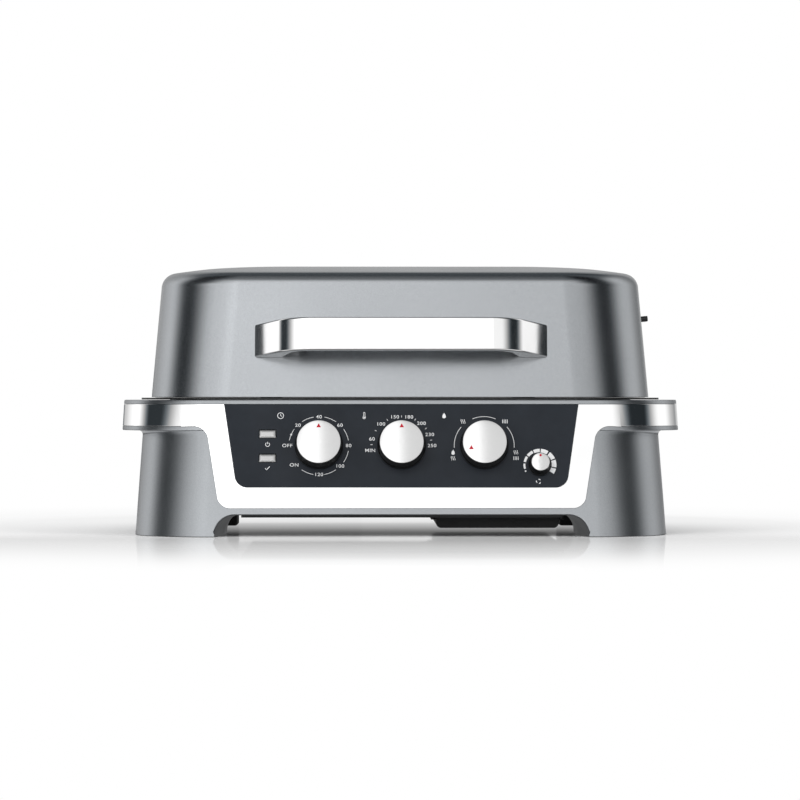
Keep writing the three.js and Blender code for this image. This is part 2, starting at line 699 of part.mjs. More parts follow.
const boardBosses = [-1, 1].map((side) => ({
  x: LENS_X + side * BOARD_BOSS_X,
  y: (LENS_RISE - LENS_DROP) / 2,
}));

function lensSolid(grow, from, to) {
  const half = LENS_WIDTH / 2 + grow;
  const tall = LENS_HEIGHT / 2 + grow;
  return roundedBlock(-half, half, -tall, tall, LENS_FILLET, from, to);
}

function lensHoles(grow, from, to) {
  return join(...lenses.map(({ y }) => lensSolid(grow, from, to).translate(LENS_X, y, 0)));
}

function shaftHoles(from, to) {
  return join(...dials.map((dial) => rodAlong('z', dial.bush + GAP, from, to, [dial.x, dial.y])));
}

const inPanel = (solid) => solid.transform(panelFrame.toArray());

// Rear face of the housing: X to the left, Y down, Z out of it
const inletFrame = new THREE.Matrix4().makeRotationX(REAR_TILT - Math.PI / 2)
  .setPosition(INLET_X, rearAt(INLET_Z), INLET_Z);

function inletBlock(grow, radius, from, to) {
  const half = INLET_WIDTH / 2 + grow;
  const tall = INLET_HEIGHT / 2 + grow;
  return roundedBlock(-half, half, -tall, tall, radius, from, to);
}

function louvres() {
  const slots = [];
  for (let i = 0; i < LOUVRE_COUNT; i += 1) {
    const bottom = LOUVRE_BOTTOM + i * LOUVRE_PITCH;
    slots.push(block(LOUVRE_X - LOUVRE_LENGTH / 2, LOUVRE_X + LOUVRE_LENGTH / 2,
      rearAt(0) - OVERRUN - WALL, rearAt(0) + OVERRUN, bottom, bottom + LOUVRE_HEIGHT));
  }
  return join(...slots);
}

function padPocket(side, grow, top) {
  const x = side * PAD_X;
  const half = PAD_WIDTH / 2 + grow;
  const reach = PAD_LENGTH / 2 + grow;
  return roundedBlock(x - half, x + half, PAD_Y - reach, PAD_Y + reach, PAD_CORNER + grow, 0, top);
}

function housingSolid() {
  const undercut = RIM_BOTTOM - UNDERCUT;
  const nearRim = RIM_BOTTOM - UNDERCUT * UNDERCUT_SHARE;
  const outside = loft([bodyRing(LEG_BOTTOM), bodyRing(undercut),
    between(bodyRing(nearRim), rimRing(nearRim), UNDERCUT_SHARE), rimRing(RIM_BOTTOM),
    rimRing(RIM_TOP - RIM_EDGE), rimRing(RIM_TOP, RIM_EDGE)]);
  const inside = loft([bodyRing(LEG_BOTTOM + SOLE, WALL, FRONT_WALL),
    bodyRing(undercut, WALL, FRONT_WALL), rimRing(RIM_BOTTOM + WALL, RIM_WALL),
    rimRing(RIM_TOP - DECK, RIM_WALL)]);
  const hollow = cut(inside, arches(WALL));
  const seatForTrim = cut(trimMask(GAP), rimColumn(TRIM_THICK + GAP));
  const deckHole = loft([tubRing(0, RIM_TOP - DECK - OVERRUN, -GAP),
    tubRing(0, RIM_TOP + OVERRUN, -GAP)]);
  const floorHole = block(-COVER_HALF + COVER_MARGIN, COVER_HALF - COVER_MARGIN, OPENING_FRONT,
    COVER_BACK - COVER_MARGIN, ARCH_TOP - OVERRUN, ARCH_TOP + WALL + OVERRUN / 2);
  const inletHole = inletBlock(GAP, INLET_CORNER, -OVERRUN, OVERRUN).transform(inletFrame.toArray());
  const bosses = boardBosses.map(({ x, y }) => rodAlong('z', BOARD_BOSS, -LENS_DEPTH + GAP,
    -FRONT_WALL + GAP, [x, y]));
  const shell = cut(outside, hollow, seatForTrim, arches(0), deckHole, floorHole, inletHole, louvres(),
    inPanel(shaftHoles(-OVERRUN, OVERRUN)), inPanel(lensHoles(GAP, -OVERRUN, OVERRUN)),
    padPocket(1, GAP, PAD_THICK + GAP), padPocket(-1, GAP, PAD_THICK + GAP));
  return join(shell, inPanel(join(...bosses)));
}

function trimSolid() {
  const shell = cut(rimColumn(0), rimColumn(TRIM_THICK)).intersect(trimMask(0));
  const window = throughPanel(panelOutline(0, upPanel(BAND_TOP) + OVERRUN));
  return cut(shell, window);
}

function panelSolid() {
  const back = -TRIM_THICK;
  const outline = panelOutline(GAP, upPanel(BAND_TOP));
  const start = new THREE.Matrix4().makeTranslation(0, 0, back);
  const sheet = extruded(outline, TRIM_THICK - PANEL_SINK, start);
  const holes = dials.map((dial) => rodAlong('z', dial.bush, -OVERRUN, OVERRUN, [dial.x, dial.y]));
  return cut(sheet, lensHoles(GAP, -OVERRUN, OVERRUN), ...holes);
}

function bottomCoverSolid() {
  const top = ARCH_TOP - GAP;
  const sheet = block(-COVER_HALF, COVER_HALF, frontAt(ARCH_TOP) + COVER_FRONT_LIP, COVER_BACK,
    top - COVER_THICK, top);
  const posts = [];
  for (const x of [POWER_BOARD_LEFT + BOARD_POST_INSET, POWER_BOARD_RIGHT - BOARD_POST_INSET]) {
    for (const y of [POWER_BOARD_FRONT + BOARD_POST_INSET, POWER_BOARD_BACK - BOARD_POST_INSET]) {
      posts.push(rodAlong('z', BOARD_POST_RADIUS, top - GAP, top + BOARD_POST, [x, y], TUBE_SIDES));
    }
  }
  const spoutHole = rodAlong('z', FUNNEL_NECK + FUNNEL_COLLAR, top - OVERRUN, top + OVERRUN,
    [DRAIN_X, DRAIN_Y]);
  return cut(join(sheet, ...posts), spoutHole);
}

// Dials
function knobSolid({ flange, radius, height, shaft, sides }) {
  const bottom = GAP - PANEL_SINK;
  const top = height - FACE_THICK - GAP - PANEL_SINK;
  const bore = shaft + GAP;
  const boreTop = SHAFT_IN_KNOB + GAP - PANEL_SINK;
  const groove = top - KNOB_GROOVE;
  return turned([[0, boreTop], [bore, boreTop], [bore, bottom], [flange, bottom],
    [flange, bottom + KNOB_LIP], [radius, bottom + KNOB_LIP + KNOB_GROOVE], [radius, groove - KNOB_GROOVE],
    [radius - KNOB_GROOVE, groove - KNOB_GROOVE], [radius - KNOB_GROOVE, groove], [radius, groove],
    [radius, top], [0, top]], sides);
}

function faceSolid({ radius, height, sides }) {
  const bottom = height - FACE_THICK - PANEL_SINK;
  const top = height - PANEL_SINK;
  return turned([[0, bottom], [radius, bottom], [radius, top - FACE_CROWN],
    [radius - FACE_CROWN, top - FACE_CROWN / 2], [radius / 2, top - FACE_CROWN / 4], [0, top]], sides);
}

function shaftSolid({ shaft }) {
  return rodAlong('z', shaft, -FRONT_WALL - SHAFT_IN_SWITCH, SHAFT_IN_KNOB - PANEL_SINK, [0, 0]);
}

function switchWith(body, depth, { bush, shaft }) {
  const front = -FRONT_WALL - GAP;
  const collar = rodAlong('z', bush - GAP, front - GAP, -TRIM_THICK - GAP, [0, 0]);
  const bore = rodAlong('z', shaft + GAP, front - SHAFT_IN_SWITCH - GAP, OVERRUN, [0, 0]);
  return cut(join(body(front - depth, front), collar), bore);
}

function timerBody(dial) {
  const half = TIMER_SIZE / 2;
  return switchWith((from, to) => block(-half, half, -half, half, from, to), TIMER_DEPTH, dial);
}

function thermostatBody(dial) {
  return switchWith((from, to) => rodAlong('z', THERMOSTAT_RADIUS, from, to, [0, 0], DIAL_SIDES),
    THERMOSTAT_DEPTH, dial);
}

function selectorBody(dial) {
  const half = SELECTOR_SIZE / 2;
  return switchWith((from, to) => block(-half, half, -half, half, from, to), SELECTOR_DEPTH, dial);
}

function dimmerBody(dial) {
  return switchWith((from, to) => rodAlong('z', DIMMER_RADIUS, from, to, [0, 0]), DIMMER_DEPTH, dial);
}

// Tub: step 0 is its mouth, step 1 the part below the ledge
function tubRing(step, z, inset = 0) {
  const taper = (RIM_TOP - z) * TUB_DRAFT / (RIM_TOP - TUB_FLOOR);
  const inward = step * TUB_STEP + taper + inset;
  return ring(TUB_HALF - inward, TUB_FRONT + inward, TUB_BACK - inward, TUB_CORNER - inward, z);
}

const LEDGE_TOP = TUB_LEDGE + TUB_LEDGE_RISE + TUB_WALL;
const elementRuns = Array.from({ length: ELEMENT_RUNS },
  (_, i) => (2 * i + 1 - ELEMENT_RUNS) * ELEMENT_BEND);
const [elementFront, elementBack] = [elementRuns[0], elementRuns[ELEMENT_RUNS - 1]];

function tubSolid() {
  const outside = loft([tubRing(1, TUB_FLOOR), tubRing(1, TUB_LEDGE),
    tubRing(0, TUB_LEDGE + TUB_LEDGE_RISE), tubRing(0, FLANGE_TOP)]);
  const flange = loft([FLANGE_BOTTOM, FLANGE_TOP].map(
    (z) => ring(FLANGE_HALF, FLANGE_FRONT, FLANGE_BACK, FLANGE_CORNER, z)));
  const inside = loft([tubRing(1, TUB_FLOOR + TUB_WALL, TUB_WALL),
    tubRing(1, TUB_LEDGE + TUB_WALL, TUB_WALL), tubRing(0, LEDGE_TOP, TUB_WALL),
    tubRing(0, FLANGE_TOP + OVERRUN, TUB_WALL)]);
  const drain = rodAlong('z', DRAIN_RADIUS, TUB_FLOOR - OVERRUN, TUB_FLOOR + OVERRUN,
    [DRAIN_X, DRAIN_Y]);
  const terminals = [elementFront, elementBack].map((y) => rodAlong('x', ELEMENT_RADIUS + GAP,
    CHIP_LEFT, WIDTH / 2, [y, ELEMENT_HEIGHT], TUBE_SIDES));
  const airHole = rodAlong('x', DUCT_RADIUS - DUCT_WALL, CHIP_RIGHT, WIDTH / 2, [0, AIR_HEIGHT]);
  const capillaryHole = rodAlong('y', CAPILLARY_RADIUS + GAP, TUB_FRONT - OVERRUN,
    TUB_FRONT + TUB_STEP + OVERRUN, [0, SENSOR_HEIGHT], TUBE_SIDES);
  return cut(join(outside, flange), inside, drain, ...terminals, airHole, capillaryHole);
}

function grillPlateSolid() {
  const bottom = LEDGE_TOP + GAP;
  const top = bottom + PLATE_THICK;
  const margin = PLATE_MARGIN + TUB_WALL;
  const outline = (z) => tubRing(0, z, margin);
  const whole = loft([outline(bottom), outline(top)]);
  const front = TUB_FRONT + margin;
  const back = TUB_BACK - margin;
  const kept = roundedBlock(-TUB_HALF - OVERRUN, PLATE_RIGHT, front - OVERRUN, back + OVERRUN,
    PLATE_RIGHT_CORNER, bottom - OVERRUN, top + OVERRUN);
  const ridges = [];
  const slots = [];
  const first = -TUB_HALF + margin + TUB_CORNER / 2;
  const count = Math.floor((PLATE_RIGHT - RIDGE_MARGIN - first) / RIDGE_PITCH);
  for (let i = 0; i <= count; i += 1) {
    const x = first + i * RIDGE_PITCH;
    ridges.push(ridge(x, front + RIDGE_MARGIN, back - RIDGE_MARGIN, top));
    if (i % 2 === 0 && i < count) {
      for (const y of [-SLOT_SPACE / 2 - SLOT_LENGTH, SLOT_SPACE / 2]) {
        const left = x + (RIDGE_PITCH - SLOT_WIDTH) / 2;
        slots.push(block(left, left + SLOT_WIDTH, y, y + SLOT_LENGTH, bottom - OVERRUN, top + OVERRUN));
      }
    }
  }
  return cut(join(whole.intersect(kept), ...ridges), ...slots);
}

function ridge(x, front, back, bottom) {
  const section = [[x - RIDGE_WIDTH / 2, bottom - GAP], [x + RIDGE_WIDTH / 2, bottom - GAP],
    [x + RIDGE_TOP / 2, bottom + RIDGE_HEIGHT], [x - RIDGE_TOP / 2, bottom + RIDGE_HEIGHT]];
  return loft([front, back].map((y) => section.map(([u, v]) => new THREE.Vector3(u, y, v))));
}

// A round tube along points that lie in one flat layer
function tube(points, radius) {
  const rings = points.map((point, i) => {
    const before = points[Math.max(i - 1, 0)];
    const after = points[Math.min(i + 1, points.length - 1)];
    const on = after.clone().sub(before).normalize();
    const side = new THREE.Vector3(on.y, -on.x, 0);
    return Array.from({ length: TUBE_SIDES }, (_, k) => {
      const angle = 2 * Math.PI * k / TUBE_SIDES;
      return point.clone().addScaledVector(side, radius * Math.cos(angle))
        .add(new THREE.Vector3(0, 0, radius * Math.sin(angle)));
    });
  });
  return loft(rings);
}

function elementSolid() {
  const points = [new THREE.Vector3(ELEMENT_END, elementFront, ELEMENT_HEIGHT)];
  elementRuns.slice(1).forEach((y, i) => {
    const goesLeft = i % 2 === 0;
    const x = goesLeft ? ELEMENT_LEFT : ELEMENT_RIGHT;
    const turn = goesLeft ? -1 : 1;
    for (let k = 0; k <= BEND_STEPS; k += 1) {
      const angle = Math.PI * k / BEND_STEPS;
      points.push(new THREE.Vector3(x + turn * ELEMENT_BEND * Math.sin(angle),
        y - ELEMENT_BEND - ELEMENT_BEND * Math.cos(angle), ELEMENT_HEIGHT));
    }
  });
  points.push(new THREE.Vector3(ELEMENT_END, elementBack, ELEMENT_HEIGHT));
  return tube(points, ELEMENT_RADIUS);
}

function restSolid(x) {
  const plate = block(x - REST_THICK / 2, x + REST_THICK / 2, -REST_HALF, REST_HALF,
    TUB_FLOOR + TUB_WALL + GAP, ELEMENT_HEIGHT);
  const notches = elementRuns.map((y) => rodAlong('x', ELEMENT_RADIUS + GAP, x - OVERRUN, x + OVERRUN,
    [y, ELEMENT_HEIGHT]));
  return cut(plate, ...notches);
}

// Wood-chip box: it stands on the floor of the tub, beside the grill plate
function chipBoxSolid() {
  const bottom = TUB_FLOOR + TUB_WALL + GAP;
  const outside = roundedBlock(CHIP_LEFT, CHIP_RIGHT, -CHIP_HALF, CHIP_HALF, CHIP_CORNER, bottom,
    CHIP_TOP);
  const inside = roundedBlock(CHIP_LEFT + CHIP_WALL, CHIP_RIGHT - CHIP_WALL, -CHIP_HALF + CHIP_WALL,
    CHIP_HALF - CHIP_WALL, CHIP_CORNER - CHIP_WALL, bottom + CHIP_WALL, CHIP_TOP + OVERRUN);
  const airHole = rodAlong('x', DUCT_RADIUS - DUCT_WALL, CHIP_RIGHT - CHIP_WALL - GAP,
    CHIP_RIGHT + OVERRUN, [0, AIR_HEIGHT]);
  return cut(outside, inside, airHole);
}

function chipLidSolid() {
  const bottom = CHIP_TOP + GAP;
  const top = bottom + CHIP_LID;
  const middle = (CHIP_LEFT + CHIP_RIGHT) / 2;
  const sheet = roundedBlock(CHIP_LEFT, CHIP_RIGHT, -CHIP_HALF, CHIP_HALF, CHIP_CORNER, bottom, top);
  const tab = block(middle - CHIP_WALL, middle + CHIP_WALL, -CHIP_TAB_HALF, CHIP_TAB_HALF,
    top - GAP, top + CHIP_TAB);
  const holes = [];
  for (let i = 0; i < CHIP_HOLES; i += 1) {
    const y = (i - (CHIP_HOLES - 1) / 2) * CHIP_HOLE_PITCH;
    for (const side of [-1, 1]) {
      holes.push(rodAlong('z', CHIP_HOLE, bottom - OVERRUN, top + OVERRUN,
        [middle + side * (CHIP_RIGHT - CHIP_LEFT) / 4, y], TUBE_SIDES));
    }
  }
  return cut(join(sheet, tab), ...holes);
}

// Temperature sensor: a bulb across the front of the tub, with its capillary to the thermostat
function sensorSolid() {
  const wall = TUB_FRONT + TUB_STEP + TUB_DRAFT;
  const y = wall + TUB_WALL + SENSOR_STANDOFF;
  const bulb = rodAlong('x', SENSOR_RADIUS, -SENSOR_HALF, SENSOR_HALF, [y, SENSOR_HEIGHT], TUBE_SIDES);
  const behind = FRONT_WALL + GAP + THERMOSTAT_DEPTH;
  const switchBack = frontAt(SENSOR_HEIGHT) + behind / Math.cos(FRONT_TILT);
  const capillary = rodAlong('y', CAPILLARY_RADIUS, switchBack + GAP, y, [0, SENSOR_HEIGHT], TUBE_SIDES);
  return join(bulb, capillary);
}

function funnelSolid() {
  const top = TUB_FLOOR - GAP;
  const spout = ARCH_TOP - GAP - COVER_THICK;
  const inner = FUNNEL_NECK - FUNNEL_WALL;
  return turned([[FUNNEL_NECK, spout], [FUNNEL_NECK, FUNNEL_NECK_TOP], [FUNNEL_RADIUS, top - FUNNEL_COLLAR],
    [FUNNEL_RADIUS, top], [DRAIN_RADIUS + FUNNEL_WALL, top], [inner, FUNNEL_NECK_TOP], [inner, spout],
    [FUNNEL_NECK, spout]]);
}

// Blower: a square frame with its motor hub, the impeller and the duct to the chip box
const TUB_SIDE_BELOW = TUB_HALF - TUB_STEP;
const DUCT_START = TUB_SIDE_BELOW + GAP;
const FAN_LEFT = DUCT_START + DUCT_LENGTH + GAP;

function fanFrameSolid() {
  const half = FAN_SIZE / 2;
  const right = FAN_LEFT + FAN_THICK;
  const square = alongX(roundedPolygon([[-half, FAN_FLOOR, FAN_CORNER], [half, FAN_FLOOR, FAN_CORNER],
    [half, FAN_HEIGHT + half, FAN_CORNER], [-half, FAN_HEIGHT + half, FAN_CORNER]]), FAN_LEFT, right);
  const bore = rodAlong('x', FAN_BORE, FAN_LEFT - OVERRUN, right + OVERRUN, [0, FAN_HEIGHT], DIAL_SIDES);
  const hub = rodAlong('x', FAN_HUB, right - FAN_HUB_THICK, right, [0, FAN_HEIGHT]);
  const reach = FAN_BORE + GAP;
  const arms = [[reach, FAN_ARM / 2], [FAN_ARM / 2, reach]].map(([wide, tall]) => block(
    right - FAN_ARM_THICK, right, -wide, wide, FAN_HEIGHT - tall, FAN_HEIGHT + tall));
  const spindle = rodAlong('x', FAN_SHAFT, right - FAN_THICK + FAN_ARM, right - FAN_HUB_THICK + GAP,
    [0, FAN_HEIGHT], TUBE_SIDES);
  return join(cut(square, bore), hub, ...arms, spindle);
}

function impellerSolid() {
  const from = FAN_LEFT + GAP;
  const to = FAN_LEFT + FAN_THICK - FAN_HUB_THICK - GAP;
  const hub = rodAlong('x', FAN_HUB, from, to, [0, 0]);
  const middle = (from + to) / 2;
  const blades = [];
  for (let i = 0; i < FAN_BLADES; i += 1) {
    const blade = new THREE.BoxGeometry(FAN_BLADE_THICK, FAN_BLADE_WIDTH, FAN_TIP - FAN_HUB / 2)
      .translate(0, 0, (FAN_TIP + FAN_HUB / 2) / 2);
    const turn = new THREE.Matrix4().makeRotationX(2 * Math.PI * i / FAN_BLADES)
      .multiply(new THREE.Matrix4().makeRotationZ(FAN_BLADE_PITCH));
    blades.push(solidOf(blade, turn.setPosition(middle, 0, 0)));
  }
  const bore = rodAlong('x', FAN_SHAFT + GAP, from + FAN_ARM - 2 * GAP, to + OVERRUN, [0, 0], TUBE_SIDES);
  return cut(join(hub, ...blades), bore);
}

function ductSolid() {
  const end = FAN_LEFT - GAP;
  const circle = (radius, x, z) => Array.from({ length: DIAL_SIDES }, (_, k) => {
    const angle = 2 * Math.PI * k / DIAL_SIDES;
    return new THREE.Vector3(x, radius * Math.cos(angle), z + radius * Math.sin(angle));
  });
  const outside = loft([circle(DUCT_RADIUS, DUCT_START, AIR_HEIGHT), circle(FAN_BORE, end, FAN_HEIGHT)]);
  const inner = loft([circle(DUCT_RADIUS - DUCT_WALL, DUCT_START - GAP, AIR_HEIGHT),
    circle(FAN_BORE - DUCT_WALL, end + GAP, FAN_HEIGHT)]);
  return cut(outside, inner);
}

function powerBoardSolid() {
  const bottom = ARCH_TOP + BOARD_POST;
  const top = bottom + BOARD_THICK;
  const board = block(POWER_BOARD_LEFT, POWER_BOARD_RIGHT, POWER_BOARD_FRONT, POWER_BOARD_BACK,
    bottom, top);
  const relays = [POWER_BOARD_LEFT + RELAY_WIDTH, POWER_BOARD_RIGHT - RELAY_WIDTH].map((x) => block(
    x - RELAY_WIDTH / 2, x + RELAY_WIDTH / 2, POWER_BOARD_BACK - RELAY_DEPTH - BOARD_POST_INSET,
    POWER_BOARD_BACK - BOARD_POST_INSET, top - GAP, top + RELAY_HEIGHT));
  return join(board, ...relays);
}

function inletSolid() {
  const flange = inletBlock(INLET_MARGIN, INLET_CORNER, GAP, GAP + INLET_FLANGE);
  const body = inletBlock(0, INLET_CORNER, -INLET_DEPTH, GAP + INLET_FLANGE);
  const socket = inletBlock(-INLET_WALL, INLET_CORNER - INLET_WALL, INLET_WALL - INLET_DEPTH, OVERRUN);
  const floor = -INLET_DEPTH + INLET_WALL - GAP;
  const pins = [[-PIN_SPREAD, PIN_RISE], [0, -PIN_RISE], [PIN_SPREAD, PIN_RISE]]
    .map((place) => rodAlong('z', PIN_RADIUS, floor, floor + PIN_LENGTH, place, TUBE_SIDES));
  return join(cut(join(flange, body), socket), ...pins);
}

// Grease tray: it hangs by its lips in two rails and slides out to the front
function traySolid() {
  const lipBottom = TRAY_TOP - TRAY_LIP_THICK;
  const left = TRAY_LEFT + TRAY_LIP;
  const right = TRAY_RIGHT - TRAY_LIP;
  const lips = block(TRAY_LEFT, TRAY_RIGHT, TRAY_FRONT, TRAY_BACK, lipBottom, TRAY_TOP);
  const section = (x0, x1, z, radius) => roundedPolygon([[x0, z, radius], [x1, z, radius],
    [x1, TRAY_TOP + OVERRUN], [x0, TRAY_TOP + OVERRUN]]);
  const drawn = (points, y0, y1) => loft([y0, y1].map(
    (y) => points.map((p) => new THREE.Vector3(p.x, y, p.y))));
  const bowl = drawn(section(left, right, TRAY_BOTTOM, TRAY_FILLET), TRAY_FRONT, TRAY_BACK)
    .subtract(block(-WIDTH, WIDTH, -WIDTH, WIDTH, TRAY_TOP, TRAY_TOP + 2 * OVERRUN));
  const hollow = drawn(section(left + TRAY_WALL, right - TRAY_WALL, TRAY_BOTTOM + TRAY_WALL,
    TRAY_FILLET - TRAY_WALL), TRAY_FRONT + TRAY_WALL, TRAY_BACK - TRAY_WALL);
  return cut(join(lips, bowl), hollow);
}

function railSolid(side) {
  const edge = side < 0 ? TRAY_LEFT : TRAY_RIGHT;
  const top = ARCH_TOP - 2 * GAP - COVER_THICK;
  const lipTop = TRAY_TOP - TRAY_LIP_THICK - GAP;
  const span = (a, b) => [Math.min(a, b), Math.max(a, b)];
  const web = block(...span(edge + side * GAP, edge + side * (GAP + RAIL_WALL)), TRAY_FRONT, TRAY_BACK,
    lipTop - RAIL_WALL, top);
  const lip = block(...span(edge + side * (GAP + RAIL_WALL), edge - side * (TRAY_LIP - 2 * GAP)),
    TRAY_FRONT, TRAY_BACK, lipTop - RAIL_WALL, lipTop);
  return join(web, lip);
}

function skidSolid(side) {
  const [left, right] = side < 0 ? [-SKID_OUTER, -SKID_INNER] : [SKID_INNER, SKID_OUTER];
  return roundedBlock(left, right, SKID_FRONT, SKID_BACK, SKID_CORNER, 0, ARCH_TOP - GAP);
}

// Lid
const LID_REACH = HALF_DEPTH - LID_SETBACK;
const lidFrontAt = (z) => -LID_REACH + (z - LID_BOTTOM) * Math.tan(LID_FRONT_DRAFT);
const lidRearAt = (z) => LID_REACH - (z - LID_BOTTOM) * Math.tan(LID_REAR_DRAFT);
const lidSideAt = (z) => LID_HALF - (z - LID_BOTTOM) * Math.tan(LID_SIDE_DRAFT);

function lidRing(wallZ, inset, z = wallZ) {
  const radius = Math.max(LID_CORNER - inset, DOME_CORNER);
  return ring(lidSideAt(wallZ) - inset, lidFrontAt(wallZ) + inset, lidRearAt(wallZ) - inset, radius, z);
}

// The lid's shape, drawn in by an inset, from any lower edge up
function lidForm(inset, bottom) {
  const rings = [lidRing(bottom, inset), lidRing(SHOULDER_START, inset)];
  for (let k = 1; k <= SHOULDER_STEPS; k += 1) {
    const angle = SHOULDER_ANGLE * k / SHOULDER_STEPS;
    rings.push(lidRing(SHOULDER_START, inset + (SHOULDER_REACH - inset) * (1 - Math.cos(angle)),
      SHOULDER_START + (SHOULDER_RISE - inset) * Math.sin(angle)));
  }
  const start = inset + (SHOULDER_REACH - inset) * (1 - Math.cos(SHOULDER_ANGLE));
  const base = SHOULDER_START + (SHOULDER_RISE - inset) * Math.sin(SHOULDER_ANGLE);
  for (let k = 1; k <= DOME_STEPS; k += 1) {
    const share = k / DOME_STEPS;
    rings.push(lidRing(SHOULDER_START, start + (DOME_REACH - start) * share,
      base + DOME_RISE * (1 - (1 - share) ** DOME_POWER)));
  }
  return loft(rings);
}

const lidSideFrame = new THREE.Matrix4().makeRotationY(Math.PI / 2 - LID_SIDE_DRAFT)
  .setPosition(lidSideAt(VENT_Z), VENT_Y, VENT_Z);
const lidFrontFrame = new THREE.Matrix4().makeRotationX(Math.PI / 2 - LID_FRONT_DRAFT)
  .setPosition(0, lidFrontAt(HANDLE_HEIGHT), HANDLE_HEIGHT);

function ventHoles(radius, from, to) {
  return Array.from({ length: VENT_HOLES }, (_, i) => {
    const angle = 2 * Math.PI * i / VENT_HOLES;
    return rodAlong('z', radius, from, to,
      [VENT_HOLE_CIRCLE * Math.cos(angle), VENT_HOLE_CIRCLE * Math.sin(angle)], TUBE_SIDES);
  });
}

function lidShellSolid() {
  const holes = join(...ventHoles(VENT_HOLE, -OVERRUN, OVERRUN)).transform(lidSideFrame.toArray());
  const pivot = rodAlong('z', STEM_RADIUS + GAP, -OVERRUN, OVERRUN, [0, 0])
    .transform(lidSideFrame.toArray());
  const screws = [-1, 1].map((side) => rodAlong('z', SCREW_RADIUS + GAP, -OVERRUN, OVERRUN,
    [side * HANDLE_SCREW_X, 0]).transform(lidFrontFrame.toArray()));
  return cut(lidForm(0, LID_BOTTOM), lidForm(LID_WALL, LID_BOTTOM - OVERRUN), holes, pivot,
    ...screws);
}

const LINER_BOTTOM = LID_BOTTOM + SEAL_HEIGHT + GAP;

function linerSolid() {
  const skin = lidForm(LINER_INSET, LINER_BOTTOM);
  const flange = loft([LINER_BOTTOM, LINER_BOTTOM + LINER_WALL].map((z) => lidRing(z, LID_WALL + GAP)));
  const hollow = lidForm(LINER_INSET + LINER_WALL, LINER_BOTTOM - OVERRUN);
  const vent = rodAlong('z', VENT_HOLE_CIRCLE + VENT_HOLE, -2 * OVERRUN, -LID_WALL - GAP, [0, 0])
    .transform(lidSideFrame.toArray());
  return cut(join(skin, flange), hollow, vent);
}

function sealSolid() {
  const [bottom, top] = [LID_BOTTOM - GAP, LID_BOTTOM + SEAL_HEIGHT];
  const band = (inset) => [bottom, top].map((z) => lidRing(LID_BOTTOM, inset, z));
  const inner = [bottom - OVERRUN, top + OVERRUN].map(
    (z) => lidRing(LID_BOTTOM, SEAL_INSET + SEAL_WIDTH, z));
  return cut(loft(band(SEAL_INSET)), loft(inner));
}

function handleSolid() {
  const plan = [[-HANDLE_FOOT_OUTER, GAP], [-HANDLE_FOOT_INNER, GAP],
    [-HANDLE_INNER_HALF, HANDLE_REACH - HANDLE_BAR, HANDLE_INNER_BEND],
    [HANDLE_INNER_HALF, HANDLE_REACH - HANDLE_BAR, HANDLE_INNER_BEND], [HANDLE_FOOT_INNER, GAP],
    [HANDLE_FOOT_OUTER, GAP], [HANDLE_BEND_HALF, HANDLE_REACH, HANDLE_BEND],
    [-HANDLE_BEND_HALF, HANDLE_REACH, HANDLE_BEND]];
  const upright = new THREE.Matrix4().makeRotationX(Math.PI / 2);
  const strap = extruded(roundedPolygon(plan), HANDLE_STRAP,
    new THREE.Matrix4().makeTranslation(0, HANDLE_STRAP / 2, 0).multiply(upright));
  const bores = [-1, 1].map((side) => rodAlong('z', SCREW_RADIUS + GAP, -OVERRUN, SCREW_LENGTH + GAP,
    [side * HANDLE_SCREW_X, 0]));
  return cut(strap, ...bores);
}

function screwSolid() {
  const under = -LID_WALL / Math.cos(LID_FRONT_DRAFT) - GAP;
  return join(rodAlong('z', SCREW_RADIUS, under - GAP, SCREW_LENGTH, [0, 0]),
    rodAlong('z', SCREW_HEAD, under - SCREW_HEAD_THICK, under, [0, 0]));
}

// Hinges
function leafSolid(x) {
  const wall = (z) => lidRearAt(z) + GAP;
  const outline = [[wall(LEAF_BOTTOM), LEAF_BOTTOM], [wall(LEAF_BOTTOM) + LEAF_THICK, LEAF_BOTTOM],
    [HINGE_Y, HINGE_Z - KNUCKLE_RADIUS + GAP], [HINGE_Y, HINGE_Z + KNUCKLE_RADIUS - GAP],
    [wall(LEAF_ARM_TOP) + LEAF_THICK, LEAF_ARM_TOP], [wall(LEAF_TOP) + LEAF_THICK, LEAF_TOP],
    [wall(LEAF_TOP), LEAF_TOP]];
  const plate = alongX(outline.map(([y, z]) => new THREE.Vector2(y, z)), x - KNUCKLE_HALF,
    x + KNUCKLE_HALF);
  const knuckle = rodAlong('x', KNUCKLE_RADIUS, x - KNUCKLE_HALF, x + KNUCKLE_HALF, [HINGE_Y, HINGE_Z]);
  const bore = rodAlong('x', PIVOT_RADIUS + GAP, x - OVERRUN, x + OVERRUN, [HINGE_Y, HINGE_Z]);
  return cut(join(plate, knuckle), bore);
}

function bracketSolid(x) {
  const inner = KNUCKLE_HALF + GAP;
  const outer = inner + EAR_THICK;
  const foot = FLANGE_BOTTOM;
  const front = HINGE_Y - BRACKET_DEPTH;
  const back = HINGE_Y + EAR_RADIUS;
  const base = block(x - outer, x + outer, front, back, foot, HINGE_Z - KNUCKLE_RADIUS - GAP);
  const ears = [[-outer, -inner], [inner, outer]].flatMap(([from, to]) => [
    block(x + from, x + to, HINGE_Y - EAR_RADIUS, back, foot, HINGE_Z),
    rodAlong('x', EAR_RADIUS, x + from, x + to, [HINGE_Y, HINGE_Z])]);
  const bore = rodAlong('x', PIVOT_RADIUS + GAP, x - outer - OVERRUN, x + outer + OVERRUN,
    [HINGE_Y, HINGE_Z]);
  return cut(join(base, ...ears), bore);
}

function pinSolid(x) {
  const half = KNUCKLE_HALF + GAP + EAR_THICK + GAP;
  return rodAlong('x', PIVOT_RADIUS, x - half, x + half, [HINGE_Y, HINGE_Z]);
}

